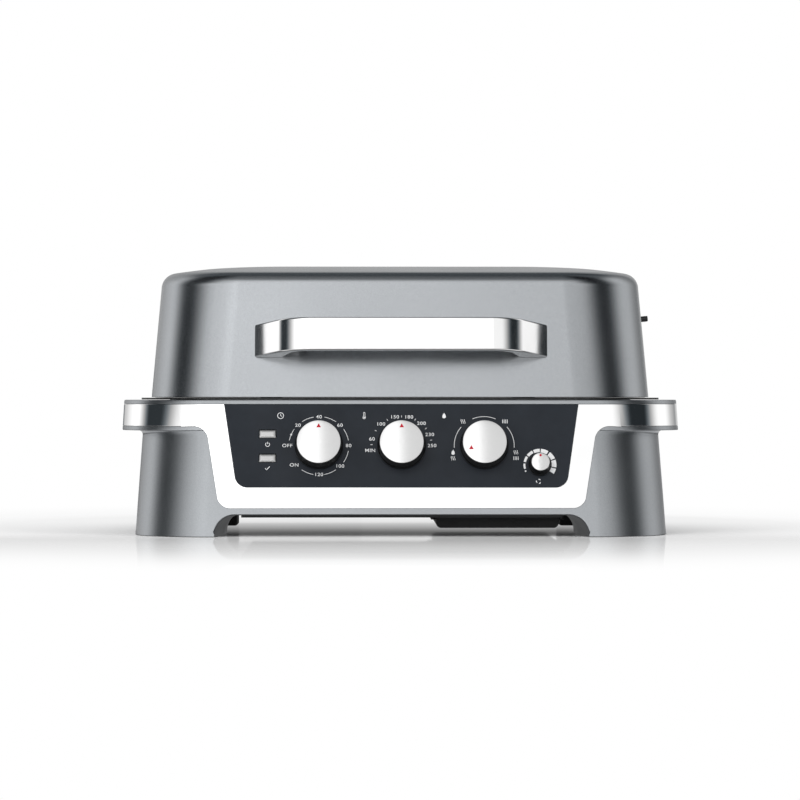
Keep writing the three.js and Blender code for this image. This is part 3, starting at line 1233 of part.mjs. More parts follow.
function ventDiscSolid() {
  const disc = rodAlong('z', VENT_RADIUS, GAP, GAP + VENT_THICK, [0, 0], DIAL_SIDES);
  const stem = rodAlong('z', STEM_RADIUS, -LID_WALL, GAP + VENT_THICK + STEM_LENGTH, [0, 0]);
  return join(cut(disc, ...ventHoles(VENT_HOLE, -OVERRUN, OVERRUN)), stem);
}

function ventGripSolid() {
  const bottom = GAP + VENT_THICK + STEM_LENGTH - GRIP_REACH / 2;
  const bar = roundedBlock(-GRIP_THICK / 2, GRIP_THICK / 2, -GRIP_LENGTH / 2, GRIP_LENGTH / 2,
    GRIP_THICK / 2 - GAP, bottom, bottom + GRIP_REACH);
  const bore = rodAlong('z', STEM_RADIUS + GAP, bottom - OVERRUN, bottom + GRIP_REACH / 2 + GAP,
    [0, 0]);
  return cut(bar, bore);
}

// A group whose contents stay in the model's own coordinates but turn about a point
function pivotGroup(x, y, z, parent) {
  const pivot = new THREE.Group();
  pivot.position.set(x, y, z);
  const contents = new THREE.Group();
  contents.position.set(-x, -y, -z);
  pivot.add(contents);
  parent.add(pivot);
  return contents;
}

function framedGroup(matrix, parent) {
  const group = new THREE.Group();
  group.applyMatrix4(matrix);
  parent.add(group);
  return group;
}

// Assembly
const model = new THREE.Group();

piece('housing', housingSolid(), greyPaint, model);
piece('bottom_cover', bottomCoverSolid(), castBlack, model);
piece('trim_band', trimSolid(), polished, model);

const panel = framedGroup(panelFrame, model);
piece('control_panel', panelSolid(), panelBlack, panel);
for (const { name, y } of lenses) {
  piece(name, lensSolid(0, -LENS_DEPTH, 0), lensSilver, panel, [LENS_X, y, 0]);
}
piece('indicator_board', block(-BOARD_WIDTH / 2, BOARD_WIDTH / 2, -BOARD_HEIGHT / 2, BOARD_HEIGHT / 2,
  -BOARD_THICK, 0), boardGreen, panel, [LENS_X, (LENS_RISE - LENS_DROP) / 2, -LENS_DEPTH - GAP]);
for (const dial of dials) {
  const turning = new THREE.Group();
  turning.position.set(dial.x, dial.y, 0);
  panel.add(turning);
  piece(`${dial.name}_knob`, knobSolid(dial), knobBlack, turning);
  piece(`${dial.name}_knob_face`, faceSolid(dial), satinFace, turning);
  piece(`${dial.name}_shaft`, shaftSolid(dial), bareSteel, turning);
  piece(dial.control, dial.body(dial), switchBeige, panel, [dial.x, dial.y, 0]);
}

piece('cooking_tub', tubSolid(), castBlack, model);
piece('grill_plate', grillPlateSolid(), castBlack, model);
piece('heating_element', elementSolid(), bareSteel, model);
piece('element_rest_left', restSolid(REST_LEFT), bareSteel, model);
piece('element_rest_right', restSolid(REST_RIGHT), bareSteel, model);
piece('chip_box', chipBoxSolid(), bareSteel, model);
piece('chip_box_lid', chipLidSolid(), bareSteel, model);
piece('sensor_probe', sensorSolid(), bareSteel, model);
piece('drain_funnel', funnelSolid(), bareSteel, model, [DRAIN_X, DRAIN_Y, 0]);

piece('fan_frame', fanFrameSolid(), knobBlack, model);
piece('fan_impeller', impellerSolid(), knobBlack, model, [0, 0, FAN_HEIGHT]);
piece('air_duct', ductSolid(), bareSteel, model);
piece('power_board', powerBoardSolid(), boardGreen, model);
piece('power_inlet', inletSolid(), knobBlack, framedGroup(inletFrame, model));

const tray = pivotGroup((TRAY_LEFT + TRAY_RIGHT) / 2, TRAY_FRONT, TRAY_TOP, model);
piece('grease_tray', traySolid(), castBlack, tray);
piece('tray_rail_left', railSolid(-1), castBlack, model);
piece('tray_rail_right', railSolid(1), castBlack, model);

piece('front_left_pad', padPocket(-1, 0, PAD_THICK), rubberBlack, model);
piece('front_right_pad', padPocket(1, 0, PAD_THICK), rubberBlack, model);
piece('rear_left_skid', skidSolid(-1), rubberBlack, model);
piece('rear_right_skid', skidSolid(1), rubberBlack, model);

const lid = pivotGroup(0, HINGE_Y, HINGE_Z, model);
piece('lid_shell', lidShellSolid(), greyPaint, lid);
piece('lid_liner', linerSolid(), bareSteel, lid);
piece('lid_seal', sealSolid(), rubberBlack, lid);
const lidFront = framedGroup(lidFrontFrame, lid);
piece('lid_handle', handleSolid(), polished, lidFront);
piece('handle_screw_left', screwSolid(), bareSteel, lidFront, [-HANDLE_SCREW_X, 0, 0]);
piece('handle_screw_right', screwSolid(), bareSteel, lidFront, [HANDLE_SCREW_X, 0, 0]);
const vent = framedGroup(lidSideFrame, lid);
piece('vent_disc', ventDiscSolid(), bareSteel, vent);
piece('vent_grip', ventGripSolid(), knobBlack, vent);
for (const [side, x] of [['left', -HINGE_X], ['right', HINGE_X]]) {
  piece(`hinge_leaf_${side}`, leafSolid(x), bareSteel, lid);
  piece(`hinge_bracket_${side}`, bracketSolid(x), castBlack, model);
  piece(`hinge_pin_${side}`, pinSolid(x), bareSteel, model);
}

// Stand the grill with the middle of its footprint on the origin
const bounds = new THREE.Box3().setFromObject(model);
const middle = bounds.getCenter(new THREE.Vector3());
model.position.set(-middle.x, -middle.y, -bounds.min.z);

const grill = new THREE.Group();
grill.name = 'electric_table_grill';
grill.add(model);

export default grill;
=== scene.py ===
import math

import bmesh
import bpy
from mathutils import Matrix, Vector


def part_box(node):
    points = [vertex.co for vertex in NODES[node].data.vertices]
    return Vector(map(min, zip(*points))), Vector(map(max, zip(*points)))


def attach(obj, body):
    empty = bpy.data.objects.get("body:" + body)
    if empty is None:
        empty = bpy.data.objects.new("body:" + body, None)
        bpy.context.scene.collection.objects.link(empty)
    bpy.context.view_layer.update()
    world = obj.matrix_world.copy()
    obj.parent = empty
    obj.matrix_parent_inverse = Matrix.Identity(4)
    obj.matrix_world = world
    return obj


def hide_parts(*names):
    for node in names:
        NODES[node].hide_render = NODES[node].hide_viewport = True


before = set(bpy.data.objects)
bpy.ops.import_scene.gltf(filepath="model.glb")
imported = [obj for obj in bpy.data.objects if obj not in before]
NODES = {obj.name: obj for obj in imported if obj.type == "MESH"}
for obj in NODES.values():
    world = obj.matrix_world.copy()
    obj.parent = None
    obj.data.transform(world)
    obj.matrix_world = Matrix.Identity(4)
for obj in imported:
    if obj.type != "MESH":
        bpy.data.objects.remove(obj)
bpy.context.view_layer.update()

MM = 0.001
# How near to a height a corner or a face counts as being at it, in metres
NEAR = 2e-6
# Corners closer than this are merged, in metres, and faces flatter than this are joined up
MERGE = 1e-6
FLAT = math.radians(0.2)

# Room between two pieces, how far a tool goes past what it cuts, and half of one that takes in the grill
GAP = 0.3
OVERRUN = 20
FAR = 500
# Steps round a corner of a finished piece and of a tool
FINE_STEPS = 24
TOOL_STEPS = 20
# Sizes shared by several pieces, in millimetres, and drafts in degrees
RIM_TOP = 136.5
RIM_BOTTOM = 105.5
RIM_HALF = 285
RIM_REACH = 185
RIM_CORNER = 85
RIM_DRAFT = 2.4
BODY_HALF = 263.3
BODY_REAR = 168
BODY_CORNER = 74
BODY_FOOT = 0.6
SIDE_DRAFT = 3.2
REAR_DRAFT = 3
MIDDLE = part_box("housing")[1].y / MM - RIM_REACH
FRONT_TILT = math.radians(14.5)
DIAL_HEIGHT = 90.6
DIAL_PITCH = 82.7
DIALS = (("time", -DIAL_PITCH), ("temp", 0), ("function", DIAL_PITCH))
BLOWER_PLACE = (138.2, -19.7)
LAMP_X = -134
LAMPS = (("power", 12.2), ("ready", -12.7))
TUB_HALF = 238
TUB_FRONT = 145
TUB_REAR = 149
TUB_CORNER = 62
TUB_STEP = 19
TUB_DRAFT = 2.5 / 78.5
LID_BOTTOM = 139.2
LID_WALL_TOP = 251.5
LID_HALF = 257
LID_REACH = 163
LID_CORNER = 84
LID_LEAST_CORNER = 34
LID_FRONT_TILT = math.radians(8)
LID_SIDE_TILT = math.radians(4.7)
LID_REAR_TILT = math.radians(5)
HANDLE_HEIGHT = 195.8
HANDLE_SCREW_X = 136.1
HANDLE_SCREW_HOLE = 2.8
VENT_HEIGHT = 222
VENT_BACK = 40


def slope(degrees):
    return math.tan(math.radians(degrees))


# Outer faces of the housing and the lid at a height
def front_at(z):
    return MIDDLE - RIM_REACH - (RIM_TOP - z) * math.tan(FRONT_TILT)


def rear_at(z):
    return MIDDLE + BODY_REAR + (RIM_BOTTOM - z) * slope(REAR_DRAFT)


def side_at(z):
    return BODY_HALF + (RIM_BOTTOM - z) * slope(SIDE_DRAFT)


def lid_front_at(z):
    return MIDDLE - LID_REACH + (z - LID_BOTTOM) * math.tan(LID_FRONT_TILT)


def lid_rear_at(z):
    return MIDDLE + LID_REACH - (z - LID_BOTTOM) * math.tan(LID_REAR_TILT)


def lid_side_at(z):
    return LID_HALF - (z - LID_BOTTOM) * math.tan(LID_SIDE_TILT)


# Level rings of the large pieces: half width, front, back, corner radius and height
def body_ring(z, inset=0, front_inset=None):
    face = inset if front_inset is None else front_inset
    return (side_at(z) - inset, front_at(z) + face / math.cos(FRONT_TILT), rear_at(z) - inset,
            BODY_CORNER - inset, z)


def rim_ring(z, inset=0):
    draft = (z - RIM_BOTTOM) * slope(RIM_DRAFT)
    return (RIM_HALF - draft - inset, front_at(z) + inset / math.cos(FRONT_TILT),
            MIDDLE + RIM_REACH - draft - inset, RIM_CORNER - inset, z)


def tub_ring(steps_in, z, inset=0):
    inward = TUB_STEP * steps_in + (RIM_TOP - z) * TUB_DRAFT + inset
    return (TUB_HALF - inward, MIDDLE - TUB_FRONT + inward, MIDDLE + TUB_REAR - inward,
            TUB_CORNER - inward, z)


def lid_ring(wall_z, inset, z=None):
    return (lid_side_at(wall_z) - inset, lid_front_at(wall_z) + inset, lid_rear_at(wall_z) - inset,
            max(LID_CORNER - inset, LID_LEAST_CORNER), wall_z if z is None else z)


def around(angle, radius):
    """The place at an angle in degrees and a radius."""
    return radius * math.cos(math.radians(angle)), radius * math.sin(math.radians(angle))


# Modelling
def deselect():
    if bpy.context.object and bpy.context.object.mode != "OBJECT":
        bpy.ops.object.mode_set(mode="OBJECT")
    bpy.ops.object.select_all(action="DESELECT")


def only(piece):
    deselect()
    piece.select_set(True)
    bpy.context.view_layer.objects.active = piece


def settle(piece):
    """Takes a piece's place, turn and size into its mesh."""
    only(piece)
    bpy.ops.object.transform_apply(location=True, rotation=True, scale=True)
    return piece


def block(name, x, y, z):
    deselect()
    bpy.ops.mesh.primitive_cube_add(size=1)
    piece = bpy.context.object
    piece.name = name
    piece.location = [(a + b) / 2 * MM for a, b in (x, y, z)]
    piece.scale = [(b - a) * MM for a, b in (x, y, z)]
    return settle(piece)


def rod(name, radius, axis, start, end, place=(0, 0), sides=48):
    deselect()
    bpy.ops.mesh.primitive_cylinder_add(vertices=sides, radius=radius * MM, depth=(end - start) * MM)
    piece = bpy.context.object
    piece.name = name
    turn = {"x": (0, math.pi / 2, 0), "y": (math.pi / 2, 0, 0), "z": (0, 0, 0)}[axis]
    piece.rotation_euler = turn
    centre = list(place)
    centre.insert("xyz".index(axis), (start + end) / 2)
    piece.location = [value * MM for value in centre]
    return settle(piece)


def choose(piece, kind, test):
    only(piece)
    bpy.ops.object.mode_set(mode="EDIT")
    bpy.ops.mesh.select_mode(type=kind)
    bpy.ops.mesh.select_all(action="DESELECT")
    mesh = bmesh.from_edit_mesh(piece.data)
    for item in {"VERT": mesh.verts, "EDGE": mesh.edges, "FACE": mesh.faces}[kind]:
        if test(item):
            item.select_set(True)
    mesh.select_flush_mode()
    bmesh.update_edit_mesh(piece.data)


def done():
    bpy.ops.object.mode_set(mode="OBJECT")


def top_face(z):
    """A test for the faces that look up at a height."""
    return lambda face: face.normal.z > 0.999 and abs(face.calc_center_median().z - z * MM) < NEAR


def draw_out(x=0, y=0, z=0):
    """Draws the chosen faces out into a new stretch."""
    bpy.ops.mesh.extrude_region_move(TRANSFORM_OT_translate={"value": (x * MM, y * MM, z * MM)})


def narrow(piece, where, share, centre=0):
    """Draws the corners at a place in across the piece, towards its centre line."""
    choose(piece, "VERT", lambda vert: where(vert.co / MM))
    bpy.ops.transform.resize(value=(share, 1, 1), center_override=(centre * MM, 0, 0))
    done()


def middle(edge):
    return (edge.verts[0].co + edge.verts[1].co) / 2 / MM


def runs_along(edge, axis):
    way = edge.verts[1].co - edge.verts[0].co
    return abs(way["xyz".index(axis)]) > 0.99 * way.length


def bevel(piece, test, radius, steps):
    choose(piece, "EDGE", test)
    bpy.ops.mesh.bevel(offset=radius * MM, offset_type="OFFSET", segments=steps, affect="EDGES")
    done()


def round_edges(piece, axis, radius, steps, where=lambda place: True):
    bevel(piece, lambda edge: runs_along(edge, axis) and where(middle(edge)), radius, steps)


def reshape_top(piece, low, high):
    """Moves the four corners of the top ring from the lower ring's plan to its own."""
    half, front, back, radius = low[:4]
    new_half, new_front, new_back, new_radius, z = high
    share = new_radius / radius
    for side in (-1, 1):
        for end in (-1, 1):
            choose(piece, "VERT", lambda vert: abs(vert.co.z - z * MM) < NEAR and vert.co.x * side > 0
                   and (vert.co.y - (front + back) / 2 * MM) * end > 0)
            old = Vector((side * (half - radius), back - radius if end > 0 else front + radius, z))
            new = Vector((side * (new_half - new_radius),
                          new_back - new_radius if end > 0 else new_front + new_radius, z))
            bpy.ops.transform.resize(value=(share, share, 1), center_override=old * MM)
            bpy.ops.transform.translate(value=(new - old) * MM)
    done()


def column(name, rings, steps=FINE_STEPS):
    """A rounded box drawn up through its rings."""
    half, front, back, radius, bottom = rings[0]
    piece = block(name, (-half, half), (front, back), (bottom, rings[1][4]))
    round_edges(piece, "z", radius, steps)
    reshape_top(piece, rings[0], rings[1])
    for low, high in zip(rings[1:], rings[2:]):
        choose(piece, "FACE", top_face(low[4]))
        draw_out(z=high[4] - low[4])
        done()
        reshape_top(piece, low, high)
    return piece


def turned(name, profile, sides=96):
    """A round piece about Z, drawn up through its profile of (radius, height)."""
    radius, bottom = profile[0]
    piece = rod(name, radius, "z", bottom, profile[1][1], sides=sides)
    for (low_radius, low), (high_radius, high) in zip([(radius, bottom)] + profile[1:-1], profile[1:]):
        if low != bottom:
            choose(piece, "FACE", top_face(low))
            draw_out(z=high - low)
        choose(piece, "FACE", top_face(high))
        share = high_radius / low_radius
        bpy.ops.transform.resize(value=(share, share, 1), center_override=(0, 0, high * MM))
        done()
    return piece


def combine(piece, tools, how):
    for tool in tools:
        modifier = piece.modifiers.new("shape", "BOOLEAN")
        modifier.operation = how
        modifier.solver = "EXACT"
        modifier.object = tool
        only(piece)
        bpy.ops.object.modifier_apply(modifier=modifier.name)
        bpy.data.objects.remove(tool)
    return piece


def cut(piece, *tools):
    return combine(piece, tools, "DIFFERENCE")


def weld(piece, *tools):
    return combine(piece, tools, "UNION")


def keep_inside(piece, *tools):
    return combine(piece, tools, "INTERSECT")


def soften(piece, width, steps=2, angle=35):
    """Breaks the sharp edges and smooths the rest."""
    only(piece)
    bpy.ops.object.mode_set(mode="EDIT")
    bpy.ops.mesh.select_all(action="SELECT")
    bpy.ops.mesh.remove_doubles(threshold=MERGE)
    bpy.ops.mesh.dissolve_limited(angle_limit=FLAT)
    done()
    if width:
        modifier = piece.modifiers.new("edges", "BEVEL")
        modifier.width = width * MM
        modifier.segments = steps
        modifier.angle_limit = math.radians(angle)
        modifier.miter_outer = "MITER_ARC"
        bpy.ops.object.modifier_apply(modifier=modifier.name)
    return smoothed(piece, angle)


def smoothed(piece, angle):
    """Smooth shading that keeps the flat faces flat."""
    only(piece)
    bpy.ops.object.shade_smooth_by_angle(angle=math.radians(angle))
    modifier = piece.modifiers.new("shading", "WEIGHTED_NORMAL")
    modifier.keep_sharp = True
    bpy.ops.object.modifier_apply(modifier=modifier.name)
    return piece


def copied(piece, name):
    twin = piece.copy()
    twin.data = piece.data.copy()
    twin.name = name
    for key in list(twin.keys()):
        del twin[key]
    twin.parent = None
    bpy.context.scene.collection.objects.link(twin)
    return twin


def refined(node, width):
    """A copy of a CAD node with its flat faces joined up and its edges broken."""
    piece = copied(NODES[node], node + "_finished")
    piece.hide_render = piece.hide_viewport = False
    return soften(piece, width, angle=30)


def join_pieces(pieces, name):
    deselect()
    for piece in pieces:
        piece.select_set(True)
    bpy.context.view_layer.objects.active = pieces[0]
    bpy.ops.object.join()
    pieces[0].name = name
    return pieces[0]


def stood_up(piece, place, turn, axis, shift=(0, 0, 0)):
    """Takes a piece made flat on the floor to a place on a sloping face."""
    foot = Matrix.Translation(Vector(place) * MM) @ Matrix.Rotation(turn, 4, axis)
    piece.matrix_world = foot @ Matrix.Translation(Vector(shift) * MM) @ piece.matrix_world
    return settle(piece)


def onto_panel(piece, x=0, y=0, z=0):
    place = (0, front_at(DIAL_HEIGHT), DIAL_HEIGHT)
    return stood_up(piece, place, math.pi / 2 - FRONT_TILT, "X", (x, y, z))


def onto_lid_front(piece, x=0):
    place = (0, lid_front_at(HANDLE_HEIGHT), HANDLE_HEIGHT)
    return stood_up(piece, place, math.pi / 2 - LID_FRONT_TILT, "X", (x, 0, 0))


def onto_lid_side(piece):
    place = (lid_side_at(VENT_HEIGHT), MIDDLE + VENT_BACK, VENT_HEIGHT)
    return stood_up(piece, place, math.pi / 2 - LID_SIDE_TILT, "Y")


def up_panel(z):
    """How far up the sloping panel a height is, from the dials' row."""
    return (z - DIAL_HEIGHT) / math.cos(FRONT_TILT)


# Finishes
def shade(tone):
    """A colour from one grey, or from (red, green, blue), written as 0 to 255."""
    parts = [part / 255 for part in (tone if isinstance(tone, tuple) else (tone,) * 3)]
    return (*[v / 12.92 if v <= 0.04045 else ((v + 0.055) / 1.055) ** 2.4 for v in parts], 1)


class Tree:
    """A node tree that is filled by short calls."""

    def __init__(self, tree):
        self.nodes, self.links = tree.nodes, tree.links

    def node(self, kind, inputs):
        """A new node, each input linked to another node or set to a value."""
        node = self.nodes.new(kind)
        for name, value in inputs.items():
            if isinstance(value, bpy.types.NodeSocket):
                self.links.new(value, node.inputs[name])
            else:
                node.inputs[name].default_value = value
        return node


class Finish(Tree):
    """One finish: its shader, and the patterns that drive it."""

    def __init__(self, name, metal=0.0):
        self.material = bpy.data.materials.new(name)
        self.material.use_nodes = True
        super().__init__(self.material.node_tree)
        self.shader = self.nodes["Principled BSDF"]
        self.shader.inputs["Metallic"].default_value = metal
        self.place = self.nodes.new("ShaderNodeTexCoord").outputs["Object"]
        self.relief_so_far = None

    def grain(self, scale, stretch=(1, 1, 1), detail=3):
        """Soft noise; a stretch under 1 draws it out along that axis."""
        place = self.node("ShaderNodeMapping", {"Vector": self.place, "Scale": stretch}).outputs["Vector"]
        noise = self.node("ShaderNodeTexNoise", {"Vector": place, "Scale": scale, "Detail": detail})
        return noise.outputs["Fac"]

    def flakes(self, scale):
        """Small cells, each with its own value."""
        cells = self.node("ShaderNodeTexVoronoi", {"Vector": self.place, "Scale": scale})
        return self.node("ShaderNodeSeparateColor", {0: cells.outputs["Color"]}).outputs[0]

    def colour(self, source, *stops):
        """Colours over a pattern; a stop is (position, tone)."""
        ramp = self.node("ShaderNodeValToRGB", {"Fac": source})
        elements = ramp.color_ramp.elements
        while len(elements) < len(stops):
            elements.new(0.5)
        for element, (position, tone) in zip(elements, stops):
            element.position = position
            element.color = shade(tone)
        self.links.new(ramp.outputs["Color"], self.shader.inputs["Base Color"])
        return self

    def roughness(self, source, low, high):
        """Roughness from low to high over the middle part of a pattern's range."""
        ramp = self.node("ShaderNodeMapRange", {"Value": source, "From Min": 0.3, "From Max": 0.7,
                                                "To Min": low, "To Max": high})
        self.links.new(ramp.outputs["Result"], self.shader.inputs["Roughness"])
        return self

    def relief(self, source, strength, depth):
        """Fine relief, its depth in millimetres, on top of any relief before it."""
        bump = self.node("ShaderNodeBump", {"Height": source, "Strength": strength, "Distance": depth * MM})
        if self.relief_so_far:
            self.links.new(self.relief_so_far, bump.inputs["Normal"])
        self.relief_so_far = bump.outputs["Normal"]
        self.links.new(self.relief_so_far, self.shader.inputs["Normal"])
        return self


def metallic_paint(name, dark, light, rough):
    """Sprayed silver-grey paint: fine flakes, a trace of orange peel, slow changes of gloss."""
    finish = Finish(name, metal=1)
    finish.colour(finish.flakes(scale=3200), (0, dark), (1, light))
    finish.roughness(finish.grain(scale=9, detail=2), rough - 0.02, rough + 0.03)
    finish.relief(finish.grain(scale=420, detail=2), strength=0.04, depth=0.12)
    return finish.relief(finish.flakes(scale=2600), strength=0.03, depth=0.03).material


def mirror_metal(name, tone, rough):
    finish = Finish(name, metal=1)
    finish.colour(finish.grain(scale=14), (0.3, tone - 6), (0.7, tone))
    return finish.roughness(finish.grain(scale=40, detail=5), rough, rough + 0.05).material


def brushed_metal(name, dark, light, rough, stretch):
    """Metal with fine parallel lines; the stretch is small along them."""
    finish = Finish(name, metal=1)
    lines = finish.grain(260, stretch, detail=4)
    finish.colour(lines, (0.3, dark), (0.7, light))
    finish.roughness(lines, rough - 0.05, rough + 0.08)
    return finish.relief(lines, strength=0.15, depth=0.05).material


def moulded(name, dark, light, rough, relief=0.2, scale=900, shine=0.5):
    """Moulded plastic or rubber with a fine spark-eroded texture."""
    finish = Finish(name)
    finish.shader.inputs["Specular IOR Level"].default_value = shine
    finish.colour(finish.grain(scale=60), (0.35, dark), (0.65, light))
    finish.roughness(finish.grain(scale=25), rough - 0.05, rough + 0.06)
    return finish.relief(finish.grain(scale, detail=2), relief, depth=0.06).material


def coated_casting(name, tone):
    """Black non-stick coating over cast aluminium: fine speckle and shallow casting waves."""
    finish = Finish(name, metal=0.15)
    finish.colour(finish.flakes(scale=1500), (0, tone - 8), (0.93, tone), (1, tone + 46))
    finish.roughness(finish.grain(scale=70), 0.36, 0.5)
    finish.relief(finish.grain(scale=55), strength=0.15, depth=0.5)
    return finish.relief(finish.grain(scale=1300, detail=2), strength=0.3, depth=0.08).material


def heated_steel(name):
    """Sheathed element steel, straw and blue where it has run hot."""
    finish = Finish(name, metal=1)
    finish.colour(finish.grain(scale=13, detail=4), (0.3, (96, 92, 96)), (0.45, (128, 112, 92)),
                  (0.6, (108, 102, 104)), (0.75, (78, 82, 100)))
    finish.roughness(finish.grain(scale=160), 0.34, 0.5)
    return finish.relief(finish.grain(scale=900), strength=0.2, depth=0.05).material


def spun_face(name):
    """Satin face of a dial: very fine lines across it and an even sheen."""
    finish = Finish(name, metal=1)
    lines = finish.grain(2400, stretch=(0.03, 1, 1), detail=4)
    finish.colour(lines, (0.25, 203), (0.75, 206))
    return finish.roughness(lines, 0.16, 0.19).material


def printed_board(name):
    """Green board with a pattern of paler tracks."""
    finish = Finish(name)
    tracks = finish.node("ShaderNodeTexBrick", {"Vector": finish.place, "Scale": 160, "Mortar Size": 0.04})
    finish.colour(tracks.outputs["Fac"], (0, (36, 92, 58)), (1, (70, 132, 82)))
    return finish.roughness(finish.grain(scale=80), 0.35, 0.5).material


# Every finish under the name of its material slot, and the two inks, which have no slot
FINISHES = {
    "housing_paint": metallic_paint("housing paint", (147, 150, 153), (163, 166, 169), 0.3),
    "lid_paint": metallic_paint("lid paint", (149, 152, 155), (165, 168, 171), 0.24),
    "polished_steel": mirror_metal("polished band", 250, 0.03),
    "handle_metal": mirror_metal("handle aluminium", 240, 0.1),
    "panel_film": moulded("panel film", (22, 28, 36), (26, 32, 40), 0.4, 0.06, 1600, 0.25),
    "knob_black": moulded("knob black", (14, 15, 16), (20, 21, 23), 0.3, 0.1, shine=0.35),
    "knob_face": spun_face("dial face"),
    "lens": mirror_metal("lamp lens", 182, 0.28),
    "coated_cast": coated_casting("tub coating", 30),
    "liner_metal": brushed_metal("liner aluminium", (160, 160, 158), (186, 186, 184), 0.36, (0.05, 1, 1)),
    "steel": brushed_metal("sheet steel", (150, 151, 152), (178, 179, 180), 0.36, (1, 0.05, 1)),
    "element_steel": heated_steel("element steel"),
    "black_sheet": moulded("black sheet", (24, 25, 27), (34, 35, 37), 0.5, 0.25),
    "black_plastic": moulded("black plastic", (20, 21, 22), (28, 29, 31), 0.45),
    "rubber": moulded("rubber", (16, 16, 17), (26, 26, 27), 0.75, 0.35, 700),
    "circuit_board": printed_board("circuit board"),
    "switch_body": moulded("switch body", (196, 190, 174), (210, 204, 190), 0.5),
    "ink": moulded("panel ink", (232, 233, 234), (240, 241, 242), 0.55, 0.05),
    "red_ink": moulded("pointer red", (176, 12, 34), (188, 16, 40), 0.45, 0.05, shine=0.3),
}


def fit_out(piece, body, slot, *nodes):
    """Gives a finished piece its finish, and its place among the moving parts."""
    piece.data.materials.clear()
    piece.data.materials.append(FINISHES[slot])
    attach(piece, body)
    if nodes:
        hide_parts(*nodes)
    return piece


# Camera, floor and light
CAMERA_PLACE = (-40, -3479.2, 136.2)
CAMERA_TURN = math.radians(-0.667)
FOCAL_LENGTH = 148.5
SENSOR_WIDTH = 36
FLOOR_WIDTH = 14
LAMP_TARGET = (0, 0, 120)
# Name, place and width in millimetres, and power in watts
STAGE_LAMPS = (("main lamp", (-1500, -2300, 2500), 1700, 24), ("side lamp", (2300, -1500, 1700), 1500, 10),
               ("left lamp", (-900, -1500, 620), 1100, 3))


def set_stage():
    scene = bpy.context.scene
    scene.view_settings.view_transform = "Standard"
    lens = bpy.data.cameras.new("camera")
    lens.lens = FOCAL_LENGTH
    lens.sensor_width = SENSOR_WIDTH
    camera = bpy.data.objects.new("camera", lens)
    camera.location = Vector(CAMERA_PLACE) * MM
    camera.rotation_euler = (math.pi / 2, 0, CAMERA_TURN)
    scene.collection.objects.link(camera)
    scene.camera = camera
    deselect()
    bpy.ops.mesh.primitive_plane_add(size=FLOOR_WIDTH)
    floor = bpy.context.object
    floor.name = "floor"
    floor.data.materials.append(floor_finish())
    scene.world = bpy.data.worlds.new("studio")
    light_world(scene.world)
    for name, place, width, power in STAGE_LAMPS:
        add_lamp(name, Vector(place) * MM, width, power)


def add_lamp(name, place, width, power):
    lamp = bpy.data.lights.new(name, "AREA")
    lamp.shape = "DISK"
    lamp.size = width * MM
    lamp.energy = power
    holder = bpy.data.objects.new(name, lamp)
    holder.location = place
    holder.rotation_euler = (Vector(LAMP_TARGET) * MM - place).to_track_quat("-Z", "Y").to_euler()
    holder.visible_glossy = False
    bpy.context.scene.collection.objects.link(holder)


class Sums(Tree):
    """Short sums in a node tree."""

    def __call__(self, operation, a, b=0.0):
        node = self.node("ShaderNodeMath", {0: a, 1: b})
        node.operation = operation
        return node.outputs[0]

    def times(self, value, *others):
        for other in others:
            value = self("MULTIPLY", value, other)
        return value

    def lowered(self, level, where, share=1):
        """The level less a share of it, where the mask is 1."""
        return self.times(level, self("SUBTRACT", 1, self.times(where, share)))

    def step(self, value, span, levels=(0, 1)):
        """Eases from the first level to the second while the value crosses the span."""
        node = self.node("ShaderNodeMapRange", {"Value": value, "From Min": span[0], "From Max": span[1],
                                                "To Min": levels[0], "To Max": levels[1]})
        node.interpolation_type = "SMOOTHSTEP"
        return node.outputs["Result"]

    def ramp(self, value, span, levels):
        """The same in a straight line."""
        result = self.step(value, span, levels)
        result.node.interpolation_type = "LINEAR"
        return result

    def shader(self, kind, inputs):
        return self.node(kind, inputs).outputs[0]

    def mixed(self, share, shader, other):
        return self.shader("ShaderNodeMixShader", {0: share, 1: shader, 2: other})


